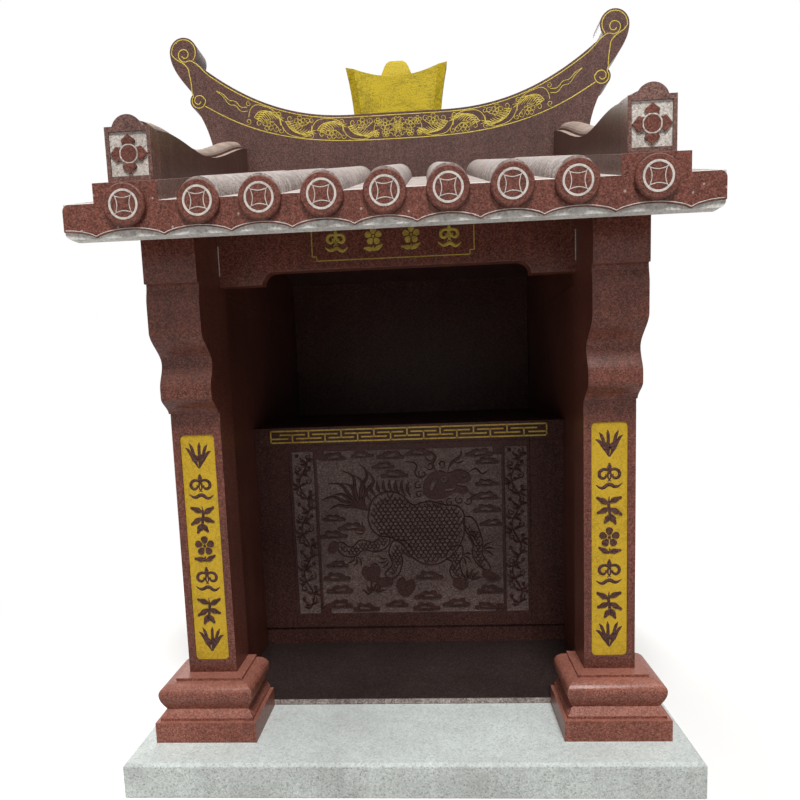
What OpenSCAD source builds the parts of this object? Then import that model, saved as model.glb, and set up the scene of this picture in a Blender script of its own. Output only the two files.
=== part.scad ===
// Open-fronted granite shrine on a slab: two moulded columns with waved corbels,
// a shaped lintel, an altar, and a tiled roof with a swallowtail scroll ridge.
// Front faces -Y, the ridge runs along X, the slab's underside is at Z = 0.

/* [Slab] */
// Width of the base slab
slab_w = 1800; // [1760:10:2000]
// Depth of the base slab
slab_d = 2000; // [1800:10:2200]
// Thickness of the base slab
slab_h = 112; // [60:1:180]
// Chamfer along the slab's upper edges
slab_edge = 8; // [2:1:14]

/* [Floor] */
// Thickness of the floor plate inside the shrine
floor_h = 22; // [12:1:40]

/* [Columns] */
// Distance of a column's centre line from the middle
col_x = 672; // [650:1:690]
// Width of a column shaft
shaft_w = 165; // [150:1:190]
// Depth of a column shaft
shaft_d = 130; // [110:1:160]
// Height of a column shaft
shaft_h = 866; // [780:1:1000]
// Distance of the shaft's front face from the slab's front edge
col_set = 215; // [200:1:260]
// Depth of the sunk panel on a shaft's front
panel_sink = 4; // [2:1:8]
// Stone left beside the sunk panel
panel_side = 25; // [15:1:40]
// Stone left above and below the sunk panel
panel_end = 44; // [25:1:70]
// Corner radius of the sunk panel
panel_r = 14; // [6:1:20]

/* [Column base] */
// Height of the square plinth
plinth_h = 69; // [50:1:95]
// How far the plinth stands out from the shaft
plinth_out = 87; // [80:1:100]
// How much further the whole base stands out at its front
base_fwd = 14; // [0:1:24]
// Height of the low fillet on the plinth
low_fillet_h = 9; // [5:1:16]
// How far that fillet stands out
low_fillet_out = 74; // [66:1:78]
// Height of the sloping band over that fillet
band_h = 24; // [14:1:34]
// How far the band stands out at its upper edge
band_out = 56; // [44:1:60]
// Height of the cushion moulding
cushion_h = 85; // [65:1:110]
// Share of the cushion's height at which it is widest
cushion_mid = 0.68; // [0.5:0.01:0.8]
// How far the cushion moulding stands out
cushion_out = 75; // [66:1:80]
// How far the cushion moulding stands out at its top
cushion_top = 38; // [32:1:48]
// Height of the fillet under the shaft
top_fillet_h = 9; // [6:1:20]
// How far that fillet stands out
top_fillet_out = 31; // [20:1:36]

/* [Corbel] */
// Height of the corbel's waved part
corbel_h = 429; // [380:1:480]
// Height of the plain band at the corbel's foot
corbel_band = 28; // [16:1:44]
// Ledge over that band
corbel_ledge = 12; // [4:1:20]
// Forward reach of the lower wave
wave_low = 62; // [40:1:80]
// Forward reach of the waist between the waves
wave_mid = 36; // [20:1:50]
// Forward reach of the upper wave
wave_high = 110; // [90:1:124]
// Forward reach of the wave's end under the cap
wave_end = 101; // [70:1:105]
// Forward reach of the cap over the waves
corbel_cap = 116; // [106:1:130]
// Height of the cap, from its lower edge up to the level of the eave
cap_h = 194; // [170:1:240]

/* [Walls] */
// Thickness of the side walls
wall_t = 100; // [60:1:115]
// Thickness of the back wall
back_t = 80; // [50:1:110]
// Drop of the joint under the gable stones below the level of the eave
gable_drop = 180; // [140:1:260]

/* [Lintel] */
// Setback of the lintel from the shaft's front face
lintel_back = 81; // [40:1:90]
// Thickness of the lintel
lintel_t = 49; // [30:1:60]
// Drop of the lintel's end shoulders below the level of the eave
lintel_drop = 180; // [150:1:240]
// Rise of the middle of the lintel over the shoulders
lintel_rise = 41; // [20:1:60]
// Half width of the raised middle
lintel_half = 400; // [300:1:460]
// Width of the round corner up to the raised middle
lintel_round = 42; // [30:1:70]

/* [Altar] */
// Distance of the altar's front from the ridge line
altar_front = 190; // [60:1:300]
// Height of the skirting over the slab
skirting_h = 97; // [60:1:130]
// Setback of the skirting from the altar's front
skirting_back = 9; // [4:1:30]
// Thickness of the skirting
skirting_t = 50; // [30:1:80]
// Height of the front panels
altar_h = 813; // [800:1:880]
// Thickness of the front panels
altar_t = 50; // [35:1:80]
// Width of each plain end stile
stile_w = 140; // [100:1:144]
// Thickness of the table slab
table_t = 78; // [60:1:110]
// How far the table's edge stands out
table_out = 16; // [6:1:40]
// Depth of the sunk panels
altar_sink = 7; // [4:1:12]
// Width of the middle sunk panel
carving_w = 790; // [720:1:800]
// Height of the sunk panels
carving_h = 719; // [620:1:730]
// Height of the plain rail under the sunk panels
carving_foot = 64; // [40:1:80]
// Indent at the corners of the middle panel
carving_notch = 34; // [20:1:60]
// Width of the narrow side panels
side_panel_w = 94; // [60:1:100]

/* [Roof] */
// Pitch of the roof
roof_pitch = 19; // [16:0.5:22]
// Vertical thickness of the roof slabs
roof_t = 85; // [60:1:100]
// Length of the roof along the ridge
roof_w = 1774; // [1720:2:1860]
// How far the eave boards' outer face stands out past the slab
eave_out = 64; // [30:1:100]
// Thickness of the eave boards
eave_t = 40; // [25:1:60]
// Height of the eave boards
eave_board_h = 94; // [88:1:120]
// Corner radius at the ends of the eave boards
eave_r = 18; // [6:1:30]
// Number of tile rolls on a slope
roll_n = 7; // [5:2:9]
// Distance of the outer rolls' middles from the verge courses
roll_side = 115; // [100:1:130]
// Radius of a tile roll
roll_r = 54; // [40:1:58]
// Diameter of the eave discs
disc_d = 116; // [100:1:124]
// Thickness of the eave discs
disc_t = 14; // [8:1:24]
// Bevel round a disc's front
disc_edge = 4; // [2:1:8]
// Drop of the disc centres below the roof's upper face
disc_drop = 12; // [0:1:16]
// Outer radius of the ring cut into a disc
ring_r = 41; // [34:1:46]
// Width of that ring
ring_w = 7; // [4:1:10]
// Depth of that ring
ring_sink = 2; // [1:0.5:4]
// Thickness of the drip apron on an eave board
drip_t = 6; // [3:1:10]
// Height of the apron's points over the board's lower edge
drip_low = 1; // [1:1:12]
// Rise of the apron's lower edge between its points
drip_rise = 18; // [10:1:26]

/* [Verges] */
// Setback of a verge course's outer edge from the end of the roof
verge_set = 90; // [70:1:110]
// Width of a verge course
verge_w = 178; // [160:1:184]
// Height of a verge course above the slope
verge_h = 53; // [30:1:70]
// Width of a verge ridge
vridge_w = 131; // [110:1:140]
// Setback of a verge ridge's inner face from the verge course's inner edge
vridge_set = 35; // [20:1:44]
// Height of the end block's front face
block_h = 148; // [120:1:170]
// Thickness of the end block
block_t = 60; // [40:1:90]
// Setback of the end block's front from the eave board's face
block_set = 60; // [30:1:100]
// Sink of the flower panel in the block's face
block_sink = 5; // [3:1:10]
// Border beside the flower panel
block_rim = 11; // [8:1:16]
// Border over and under the flower panel
block_rail = 14; // [8:1:20]
// Reach of the flower's petals from its middle
petal_reach = 52; // [40:1:53]
// Half width of a petal
petal_half = 18; // [14:1:22]
// Radius of the flower's button
button_r = 18; // [12:1:20]
// Gap round the button
button_gap = 6; // [4:1:8]
// Height of a verge ridge at its lowest point
vridge_low = 62; // [45:1:80]
// Height of a verge ridge where it meets the main ridge
vridge_top = 102; // [85:1:120]
// Radius of the roll along a verge ridge
vroll_r = 45; // [34:1:50]

/* [Main ridge] */
// Thickness of the main ridge
ridge_t = 108; // [80:1:130]
// Height of the ridge's upper edge over the roof's peak
ridge_up = 249; // [210:1:290]
// How far the ridge's foot stands out past the verge courses
ridge_over = 5; // [1:1:30]
// Rise of the ridge's upper edge at the scroll's centre
ridge_rise = 291; // [240:1:340]
// How far the end scrolls' centres stand out past the roof
scroll_out = 15; // [0:1:40]
// Radius of the end scrolls
scroll_r = 60; // [45:1:70]
// Setback of the lower scrolls' centres from the end of the roof
lobe_set = 37; // [20:1:48]
// Height of the lower scrolls' centres over the middle of the ridge
lobe_up = 92; // [75:1:105]
// Radius of the lower scrolls
lobe_r = 37; // [25:1:42]

/* [Ingot] */
// Width of the ingot across its horns
ingot_w = 430; // [390:2:460]
// Width of the ingot's foot
ingot_foot = 370; // [330:2:390]
// Height of the ingot's horns
ingot_h = 200; // [170:1:230]
// Dip of the ingot's upper edge between the horns
ingot_dip = 54; // [30:1:70]
// Depth of the ingot
ingot_d = 104; // [90:1:108]
// Width of the bevel down the ingot's corners
ingot_bevel = 34; // [15:1:45]
// Width of the dome in the ingot
dome_w = 146; // [110:2:180]
// Depth of the dome
dome_d = 78; // [60:1:84]
// Height of the dome over its seat
dome_h = 88; // [60:1:110]
// Depth of the dome's seat below the ingot's edge
dome_seat = 8; // [4:1:14]

/* [Hidden] */
$fn = 64;
big = 6000;
red = "#7d4a45";
pale = "#c9bdb5";
grey = "#a9aba4";
gold = "#c9a227";
inner_x = col_x + shaft_w/2 - wall_t;
outer_x = col_x + shaft_w/2;
shaft_front = slab_d/2 - col_set;
shaft_back = shaft_front - shaft_d;
back_y = shaft_front;
base_h = plinth_h + low_fillet_h + band_h + cushion_h + top_fillet_h;
corbel_z = base_h + shaft_h;
slope = tan(roof_pitch);
eave_y = slab_d/2 + eave_out;
eave_h = corbel_z + corbel_h + cap_h;
wall_h = eave_h - gable_drop;
lintel_h = eave_h - lintel_drop;
table_z = skirting_h + altar_h;
verge_out = roof_w/2 - verge_set;
verge_in = verge_out - verge_w;
vridge_in = verge_in + vridge_set;
ridge_foot = verge_out + ridge_over;
scroll_x = roof_w/2 + scroll_out;
lobe_x = roof_w/2 - lobe_set;
block_y = eave_y - block_set;
apron_z0 = eave_h - eave_board_h + drip_low;
ridge_h = roof_top(0) + ridge_up;
lobe_h = ridge_h + lobe_up;
ridge_end_z = roof_top(0) + verge_h + vridge_top;
cap_low = -0.3*vroll_r;
roll_steps = 12;
dome_z = ingot_h - ingot_dip - dome_seat;
roll_gap = 2*(verge_in - roll_side)/(roll_n - 1);
// Places of the eave discs along X
roll_x = [for (i = [0:roll_n - 1]) (i - (roll_n - 1)/2)*roll_gap];
disc_x = concat([-verge_in - verge_w/2], roll_x, [verge_in + verge_w/2]);
// Places of the apron's points, between the discs and at the verges
points_x = concat([-verge_out], [for (i = [1:len(disc_x) - 1]) (disc_x[i - 1] + disc_x[i])/2], [verge_out]);

// Height of the roof's upper face over the slab at a distance from the ridge line
function roof_top(y) = eave_h + (eave_y - abs(y))*slope;
// Height of the roof's underside
function roof_under(y) = roof_top(y) - roof_t;
// Smooth step from 0 to 1
function ease(t) = (1 - cos(180*min(1, max(0, t))))/2;
// Value of a chain of [position, value] stops, eased between neighbours
function along(stops, t, i = 0) =
    i >= len(stops) - 2 || t <= stops[i + 1][0]
    ? stops[i][1] + (stops[i + 1][1] - stops[i][1])*ease((t - stops[i][0])/(stops[i + 1][0] - stops[i][0]))
    : along(stops, t, i + 1);
// Rise of the ridge's upper edge at a distance from the middle
function ridge_curve(x) = ridge_rise*pow(max(0, abs(x) - ingot_foot/2)/(scroll_x - ingot_foot/2), 2.25);

// Moves a part up onto the slab
module on_slab(h = 0) { translate([0, 0, slab_h + h]) children(); }
// The same part on the left
module left() { mirror([1, 0, 0]) children(); }
// The same part on the back slope
module back() { mirror([0, 1, 0]) children(); }
// An outline in Y and Z, drawn along X from x0 to x1
module along_x(x0, x1) {
    translate([x0, 0, 0]) rotate([90, 0, 90]) linear_extrude(x1 - x0) children();
}
// An outline in X and Z, drawn along Y from y0 to y1
module along_y(y0, y1) {
    translate([0, y1, 0]) rotate([90, 0, 0]) linear_extrude(y1 - y0) children();
}
// Rectangle with round corners, centred
module round_rect(w, h, r) {
    square([w - 2*r, h], center = true);
    square([w, h - 2*r], center = true);
    for (x = [-1, 1], y = [-1, 1]) translate([x*(w/2 - r), y*(h/2 - r)]) circle(r);
}
// Rectangle standing on the axis, between two heights
module layer(w, z0, z1) { translate([-w/2, z0]) square([w, z1 - z0]); }
// Half of the space under the roof slabs, as an outline in Y and Z
module under_roof() {
    polygon([[-eave_y, -1], [-eave_y, roof_under(eave_y)], [0, roof_under(0)],
             [eave_y, roof_under(eave_y)], [eave_y, -1]]);
}

module base_slab() {
    c = slab_edge;
    color(grey) intersection() {
        along_y(-slab_d/2, slab_d/2)
            polygon([[-slab_w/2, 0], [slab_w/2, 0], [slab_w/2, slab_h - c], [slab_w/2 - c, slab_h],
                     [c - slab_w/2, slab_h], [-slab_w/2, slab_h - c]]);
        along_x(-slab_w/2, slab_w/2)
            polygon([[-slab_d/2, 0], [slab_d/2, 0], [slab_d/2, slab_h - c], [slab_d/2 - c, slab_h],
                     [c - slab_d/2, slab_h], [-slab_d/2, slab_h - c]]);
    }
}

module floor_plate() {
    color(red) on_slab() translate([-inner_x, -shaft_back, 0])
        cube([2*inner_x, shaft_back - altar_front + skirting_back, floor_h]);
}

// Half outline of the column base from the shaft outwards, as [reach, height] points
function base_points() = let (
    z1 = plinth_h,
    z2 = z1 + low_fillet_h,
    z3 = z2 + band_h,
    z4 = z3 + cushion_h,
    widest = z3 + cushion_mid*cushion_h,
    steps = 8
) concat(
    [[plinth_out, 0], [plinth_out, z1], [low_fillet_out, z1], [low_fillet_out, z2], [band_out, z3]],
    [for (i = [0:steps]) [band_out + (cushion_out - band_out)*sin(90*i/steps), z3 + (widest - z3)*i/steps]],
    [for (i = [1:steps]) let (a = 90*i/steps)
        [cushion_top + (cushion_out - cushion_top)*cos(a), widest + (z4 - widest)*sin(a)]],
    [[top_fillet_out, z4], [top_fillet_out, base_h]]);
// Outline of the column base, for a shaft as wide as w
module base_outline(w) {
    side = base_points();
    polygon(concat([for (q = side) [w/2 + q[0], q[1]]],
        [for (i = [len(side) - 1:-1:0]) [-w/2 - side[i][0], side[i][1]]]));
}

module right_column_base() {
    color(red) on_slab() intersection() {
        translate([col_x, 0, 0]) along_y(-big/2, -shaft_back) base_outline(shaft_w);
        along_x(0, big/2) translate([-shaft_front - base_fwd + shaft_d, 0]) base_outline(2*shaft_d);
    }
}
module left_column_base() { left() right_column_base(); }

module right_column_shaft() {
    color(red) on_slab(base_h) difference() {
        translate([col_x - shaft_w/2, -shaft_front, 0]) cube([shaft_w, shaft_d, shaft_h]);
        translate([col_x, 0, shaft_h/2]) along_y(-big/2, panel_sink - shaft_front)
            round_rect(shaft_w - 2*panel_side, shaft_h - 2*panel_end, panel_r);
    }
}
module left_column_shaft() { left() right_column_shaft(); }

// Side outline of the corbel: a double wave that leans forward under a plain cap
module corbel_outline() {
    waves = [[0, corbel_ledge], [0.13, wave_low], [0.2, wave_low], [0.4, wave_mid],
             [0.64, wave_high], [0.85, wave_high], [1, wave_end]];
    steps = 44;
    wave_h = corbel_h - corbel_band;
    top = roof_under(0) - corbel_z;
    polygon(concat(
        [[-shaft_back, 0], [-shaft_front, 0], [-shaft_front, corbel_band]],
        [for (i = [0:steps]) [-shaft_front - along(waves, i/steps), corbel_band + i*wave_h/steps]],
        [[-shaft_front - corbel_cap, corbel_h], [-shaft_front - corbel_cap, top], [-shaft_back, top]]));
}
module right_corbel() {
    color(red) on_slab() intersection() {
        along_x(col_x - shaft_w/2, outer_x) translate([0, corbel_z]) corbel_outline();
        along_x(0, big/2) under_roof();
    }
}
module left_corbel() { left() right_corbel(); }

module right_side_wall() {
    color(red) on_slab() translate([inner_x, -shaft_back, 0]) cube([wall_t, shaft_back + back_y, wall_h]);
}
module left_side_wall() { left() right_side_wall(); }

module right_gable() {
    color(red) on_slab() along_x(inner_x, outer_x) intersection() {
        under_roof();
        translate([-shaft_back, wall_h]) square([shaft_back + back_y, big]);
    }
}
module left_gable() { left() right_gable(); }

module back_wall() {
    color(red) on_slab() along_x(-inner_x, inner_x) intersection() {
        under_roof();
        translate([back_y - back_t, 0]) square([back_t, big]);
    }
}

// Front outline of the lintel, with a raised middle between round corners
module lintel_outline() {
    half = col_x - shaft_w/2;
    top = roof_under(0);
    steps = 10;
    corner = [for (i = [0:steps]) let (a = 90*i/steps)
        [lintel_half + lintel_round*cos(a), lintel_h + lintel_rise*sin(a)]];
    polygon(concat([[half, top], [half, lintel_h]], corner,
        [for (i = [steps:-1:0]) [-corner[i][0], corner[i][1]]], [[-half, lintel_h], [-half, top]]));
}
module front_lintel() {
    y0 = lintel_back - shaft_front;
    color(red) on_slab() intersection() {
        along_y(y0, y0 + lintel_t) lintel_outline();
        along_x(-big/2, big/2) under_roof();
    }
}

module altar_skirting() {
    color(red) on_slab() translate([-inner_x, skirting_back - altar_front, 0])
        cube([2*inner_x, skirting_t, skirting_h]);
}
// Rectangle with stepped corners, centred
module notched(w, h, n) {
    square([w - 2*n, h], center = true);
    square([w, h - 2*n], center = true);
}
module altar_panel() {
    half = inner_x - stile_w;
    side = (half + carving_w/2)/2;
    color(red) on_slab(skirting_h) difference() {
        translate([-half, -altar_front, 0]) cube([2*half, altar_t, altar_h]);
        translate([0, 0, carving_foot + carving_h/2]) along_y(-big/2, altar_sink - altar_front) {
            notched(carving_w, carving_h, carving_notch);
            for (s = [-1, 1]) translate([s*side, 0]) square([side_panel_w, carving_h], center = true);
        }
    }
}
module altar_right_stile() {
    color(red) on_slab(skirting_h) translate([inner_x - stile_w, -altar_front, 0])
        cube([stile_w, altar_t, altar_h]);
}
module altar_left_stile() { left() altar_right_stile(); }
module altar_top() {
    y0 = -altar_front - table_out;
    color(red) on_slab(table_z) translate([-inner_x, y0, 0]) cube([2*inner_x, back_y - back_t - y0, table_t]);
}

module front_roof_slab() {
    y0 = eave_t - eave_y;
    color(pale) on_slab() along_x(-roof_w/2, roof_w/2)
        polygon([[y0, roof_under(y0)], [y0, roof_top(y0)], [0, roof_top(0)], [0, roof_under(0)]]);
}
module back_roof_slab() { back() front_roof_slab(); }

module front_eave_board() {
    y0 = -eave_y;
    y1 = eave_t - eave_y;
    z0 = eave_h - eave_board_h;
    color(pale) on_slab() intersection() {
        along_x(-roof_w/2, roof_w/2) polygon([[y0, z0], [y0, roof_top(y0)], [y1, roof_top(y1)], [y1, z0]]);
        translate([0, 0, z0 + eave_board_h]) along_y(y0, y1) round_rect(roof_w, 2*eave_board_h, eave_r);
    }
}
module back_eave_board() { back() front_eave_board(); }

// Lower edge of the apron: shallow braces that come to a point between the discs
function brace(x0, x1, n) = [for (i = [0:n - 1]) let (t = i/n)
    [x0 + (x1 - x0)*t, apron_z0 + drip_rise*pow(sin(180*t), 0.7)]];
module apron_outline() {
    n = 16;
    z1 = eave_h - drip_t*slope;
    last = len(points_x) - 1;
    wing = roof_w/2 - verge_out;
    edge = [for (i = [0:last - 1]) each brace(points_x[i], points_x[i + 1], n)];
    polygon(concat(
        [[-roof_w/2, z1 - eave_r], [-roof_w/2, apron_z0 + drip_rise]],
        [for (i = [1:6]) [-roof_w/2 + wing*i/6, apron_z0 + drip_rise*pow(cos(90*i/6), 0.7)]],
        edge,
        [for (i = [0:6]) [verge_out + wing*i/6, apron_z0 + drip_rise*pow(sin(90*i/6), 0.7)]],
        [[roof_w/2, z1 - eave_r],
         for (i = [1:6]) [roof_w/2 - eave_r*(1 - cos(15*i)), z1 - eave_r*(1 - sin(15*i))],
         for (i = [6:-1:1]) [-roof_w/2 + eave_r*(1 - cos(15*i)), z1 - eave_r*(1 - sin(15*i))]]));
    for (s = [-1, 1]) translate([s*(verge_in + verge_w/2), 0])
        layer(verge_w, eave_h - eave_board_h/2, eave_h + verge_h - drip_t*slope);
}
module front_drip_apron() {
    color(red) on_slab() along_y(-eave_y - drip_t, -eave_y) apron_outline();
}
module back_drip_apron() { back() front_drip_apron(); }

// A disc with a bevelled front and a sunk ring, lying on its back
module coin_disc() {
    r = disc_d/2;
    t = disc_t;
    ring_in = ring_r - ring_w;
    rotate_extrude() polygon([[0, 0], [r, 0], [r, t - disc_edge], [r - disc_edge, t], [ring_r, t],
                              [ring_r, t - ring_sink], [ring_in, t - ring_sink], [ring_in, t], [0, t]]);
}
module front_eave_discs() {
    color(red) on_slab(eave_h - disc_drop) for (x = disc_x)
        translate([x, -eave_y - drip_t, 0]) rotate([90, 0, 0]) coin_disc();
}
module back_eave_discs() { back() front_eave_discs(); }

module front_tile_rolls() {
    y0 = eave_y + drip_t;
    color(pale) on_slab() for (x = roll_x) intersection() {
        translate([x, 0, roof_top(0)]) rotate([roof_pitch + 90, 0, 0]) cylinder(r = roll_r, h = 2*eave_y);
        along_x(-roof_w/2, roof_w/2)
            polygon([[-y0, roof_top(y0)], [-y0, big], [-ridge_t/2, big], [-ridge_t/2, roof_top(ridge_t/2)]]);
    }
}
module back_tile_rolls() { back() front_tile_rolls(); }

module right_front_verge_course() {
    y1 = ridge_t/2;
    color(red) on_slab() along_x(verge_in, verge_out)
        polygon([[-eave_y, roof_top(eave_y)], [-eave_y, roof_top(eave_y) + verge_h],
                 [-y1, roof_top(y1) + verge_h], [-y1, roof_top(y1)]]);
}
module left_front_verge_course() { left() right_front_verge_course(); }
module right_back_verge_course() { back() right_front_verge_course(); }
module left_back_verge_course() { back() left() right_front_verge_course(); }

// Half section of a verge ridge: flat sides, shoulders and a half-round roll
function vridge_section(z0, h) = concat(
    [[-vridge_w/2, z0], [-vridge_w/2, z0 + h], [-vroll_r, z0 + h]],
    [for (i = [1:roll_steps - 1]) let (a = 180*i/roll_steps)
        [-vroll_r*cos(a), z0 + h + (vroll_r + cap_low)*sin(a)]],
    [[vroll_r, z0 + h], [vridge_w/2, z0 + h], [vridge_w/2, z0]]);

// Waved verge ridge, built ring by ring from the end block to the main ridge
module right_front_verge_ridge() {
    y0 = block_y - block_t;
    y1 = ridge_t/2;
    rings = 18;
    stops = [[0, block_h + cap_low], [0.5, vridge_low], [1, vridge_top]];
    section_n = len(vridge_section(0, 1));
    points = [for (k = [0:rings]) let (y = y0 + (y1 - y0)*k/rings)
        for (p = vridge_section(roof_top(y) + verge_h, along(stops, k/rings))) [p[0], -y, p[1]]];
    sides = [for (k = [0:rings - 1], i = [0:section_n - 1])
        let (a = k*section_n, b = a + section_n, j = (i + 1) % section_n)
        each [[a + i, a + j, b + i], [a + j, b + j, b + i]]];
    caps = [[for (i = [section_n - 1:-1:0]) i], [for (i = [0:section_n - 1]) rings*section_n + i]];
    color(red) on_slab() translate([vridge_in + vridge_w/2, 0, 0]) polyhedron(points, concat(sides, caps));
}
module left_front_verge_ridge() { left() right_front_verge_ridge(); }
module right_back_verge_ridge() { back() right_front_verge_ridge(); }
module left_back_verge_ridge() { back() left() right_front_verge_ridge(); }

// Outline of a petal that points along +X, clear of the button
module petal() {
    length = petal_reach/2;
    r = (length*length + petal_half*petal_half)/(2*petal_half);
    difference() {
        translate([length, 0]) intersection_for (s = [-1, 1]) translate([0, s*(r - petal_half)]) circle(r);
        circle(button_r + button_gap);
    }
}
module right_front_end_block() {
    y1 = block_y - block_t;
    z0 = roof_top(block_y) + verge_h;
    z1 = roof_top(y1) + verge_h;
    x0 = vridge_in + vridge_w/2;
    color(red) on_slab() {
        difference() {
            along_x(vridge_in, vridge_in + vridge_w)
                polygon([[-block_y, z0], [-block_y, z0 + block_h], [-y1, z0 + block_h], [-y1, z1]]);
            translate([x0, 0, z0 + block_h/2]) along_y(-2*block_y, block_sink - block_y)
                square([vridge_w - 2*block_rim, block_h - 2*block_rail], center = true);
        }
        translate([x0, 0, z0 + block_h]) along_y(-block_y, -y1) difference() {
            translate([0, cap_low]) circle(vroll_r);
            translate([-vroll_r, -2*vroll_r]) square(2*vroll_r);
        }
        translate([x0, 0, z0 + block_h/2]) along_y(-block_y, block_sink - block_y) {
            circle(button_r);
            for (a = [0:90:270]) rotate(a) petal();
        }
    }
}
module left_front_end_block() { left() right_front_end_block(); }
module right_back_end_block() { back() right_front_end_block(); }
module left_back_end_block() { back() left() right_front_end_block(); }

// Points of an arc, from one angle to another
function arc(x, z, r, a0, a1, n) =
    [for (i = [0:n]) let (a = a0 + (a1 - a0)*i/n) [x + r*cos(a), z + r*sin(a)]];
// Front outline of the main ridge: a rising upper edge, scrolls and hollow ends
module ridge_outline() {
    steps = 40;
    horn = 10;
    scroll_n = 20;
    scroll_from = 218;
    lobe_n = 12;
    lobe_from = 55;
    lobe_to = -75;
    tip = ridge_h + ridge_rise;
    scroll = arc(scroll_x, tip, scroll_r, scroll_from, 0, scroll_n);
    lobe = arc(lobe_x, lobe_h, lobe_r, lobe_from, lobe_to, lobe_n);
    head = lobe[0];
    foot = lobe[lobe_n];
    half = scroll[0][0] - scroll_r/20;
    top = [for (i = [-steps:steps]) let (x = half*i/steps) [x, ridge_h + ridge_curve(x)]];
    hollow = [for (i = [horn - 1:-1:1])
        [head[0] + (scroll[scroll_n][0] - head[0])*sin(90*i/horn), head[1] + (tip - head[1])*i/horn]];
    heel = [for (i = [horn - 1:-1:0]) let (t = i/horn)
        [ridge_foot + (foot[0] - ridge_foot)*(t + t*t)/2, ridge_end_z + (foot[1] - ridge_end_z)*t]];
    end = concat(scroll, hollow, lobe, heel, [[ridge_foot, eave_h]]);
    polygon(concat(top, end, [for (i = [len(end) - 1:-1:0]) [-end[i][0], end[i][1]]]));
}
module main_ridge() {
    color(red) on_slab() difference() {
        along_y(-ridge_t/2, ridge_t/2) ridge_outline();
        along_x(-big/2, big/2)
            polygon([[-eave_y, roof_top(eave_y)], [0, roof_top(0)], [eave_y, roof_top(eave_y)],
                     [eave_y, -1], [-eave_y, -1]]);
    }
}

// Boat outline of the ingot: a hollow upper edge between two horns
module ingot_outline() {
    steps = 16;
    top = [for (i = [-steps:steps]) let (t = i/steps) [t*ingot_w/2, ingot_h - ingot_dip*(1 - t*t)]];
    flank = [for (i = [0:steps]) let (t = i/steps)
        [ingot_foot/2 + (ingot_w - ingot_foot)/2*(0.5*t + 0.5*t*t), ingot_h*t]];
    polygon(concat(top, [for (i = [steps - 1:-1:0]) flank[i]],
        [for (i = [0:steps - 1]) [-flank[i][0], flank[i][1]]]));
}
module ingot_body() {
    d = ingot_d/2;
    lean = atan((ingot_w - ingot_foot)/(2*ingot_h));
    color(gold) on_slab(ridge_h) difference() {
        along_y(-d, d) ingot_outline();
        for (x = [0, 1], y = [0, 1]) mirror([x, 0, 0]) mirror([0, y, 0])
            translate([ingot_foot/2 - ingot_bevel, -d, 0]) rotate([0, lean, 0]) rotate(30)
                translate([0, -ingot_d, -ingot_h]) cube([ingot_w, ingot_d, 3*ingot_h]);
        translate([-dome_w/2, -dome_d/2, dome_z]) cube([dome_w, dome_d, ingot_h]);
    }
}
// Round-topped dome with spreading sides, standing on the axis
module dome_outline(w, h) {
    side = [[1, 0], [0.9, 0.2], [0.8, 0.42], [0.7, 0.64], [0.58, 0.82], [0.42, 0.94], [0.22, 0.99]];
    polygon(concat([for (q = side) [w/2*q[0], h*q[1]]], [[0, h]],
        [for (i = [len(side) - 1:-1:0]) [-w/2*side[i][0], h*side[i][1]]]));
}
module ingot_dome() {
    color(gold) on_slab(ridge_h + dome_z) intersection() {
        along_y(-dome_d/2, dome_d/2) dome_outline(dome_w, dome_h);
        along_x(-dome_w/2, dome_w/2) dome_outline(dome_d, dome_h);
    }
}

base_slab();
floor_plate();
left_column_base();
right_column_base();
left_column_shaft();
right_column_shaft();
left_corbel();
right_corbel();
left_side_wall();
right_side_wall();
left_gable();
right_gable();
back_wall();
front_lintel();
altar_skirting();
altar_panel();
altar_left_stile();
altar_right_stile();
altar_top();
front_roof_slab();
back_roof_slab();
front_eave_board();
back_eave_board();
front_drip_apron();
back_drip_apron();
front_eave_discs();
back_eave_discs();
front_tile_rolls();
back_tile_rolls();
left_front_verge_course();
right_front_verge_course();
left_back_verge_course();
right_back_verge_course();
left_front_verge_ridge();
right_front_verge_ridge();
left_back_verge_ridge();
right_back_verge_ridge();
left_front_end_block();
right_front_end_block();
left_back_end_block();
right_back_end_block();
main_ridge();
ingot_body();
ingot_dome();
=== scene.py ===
"""Dresses the stone shrine: the finishes of its stones and the carved and painted work on them."""

import logging
import math
from dataclasses import dataclass, field, replace
from enum import Enum
from typing import Any, Sequence

import bmesh
import bpy
from mathutils import Matrix, Vector


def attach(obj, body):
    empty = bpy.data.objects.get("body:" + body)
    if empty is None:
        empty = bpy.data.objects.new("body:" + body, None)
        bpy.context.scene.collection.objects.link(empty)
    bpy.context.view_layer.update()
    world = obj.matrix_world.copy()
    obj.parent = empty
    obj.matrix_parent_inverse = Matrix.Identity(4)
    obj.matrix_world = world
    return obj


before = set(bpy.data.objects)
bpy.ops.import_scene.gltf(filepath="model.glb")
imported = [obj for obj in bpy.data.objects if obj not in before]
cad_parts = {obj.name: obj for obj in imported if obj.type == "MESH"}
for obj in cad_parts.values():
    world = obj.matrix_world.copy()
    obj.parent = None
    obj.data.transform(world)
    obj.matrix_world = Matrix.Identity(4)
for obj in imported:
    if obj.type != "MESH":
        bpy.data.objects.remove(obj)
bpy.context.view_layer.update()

MM = 0.001
Point = tuple[float, float]
Stop = tuple[float, str]
LOG = logging.getLogger("shrine")


class Slot(Enum):
    """The record's material slots."""

    GREY = "grey_granite"
    RED = "red_granite"
    SAWN = "sawn_granite"
    GOLD = "gold_paint"


class Side(Enum):
    """The shrine's two long sides; the value is the sign of Y."""

    FRONT = -1
    BACK = 1


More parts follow.
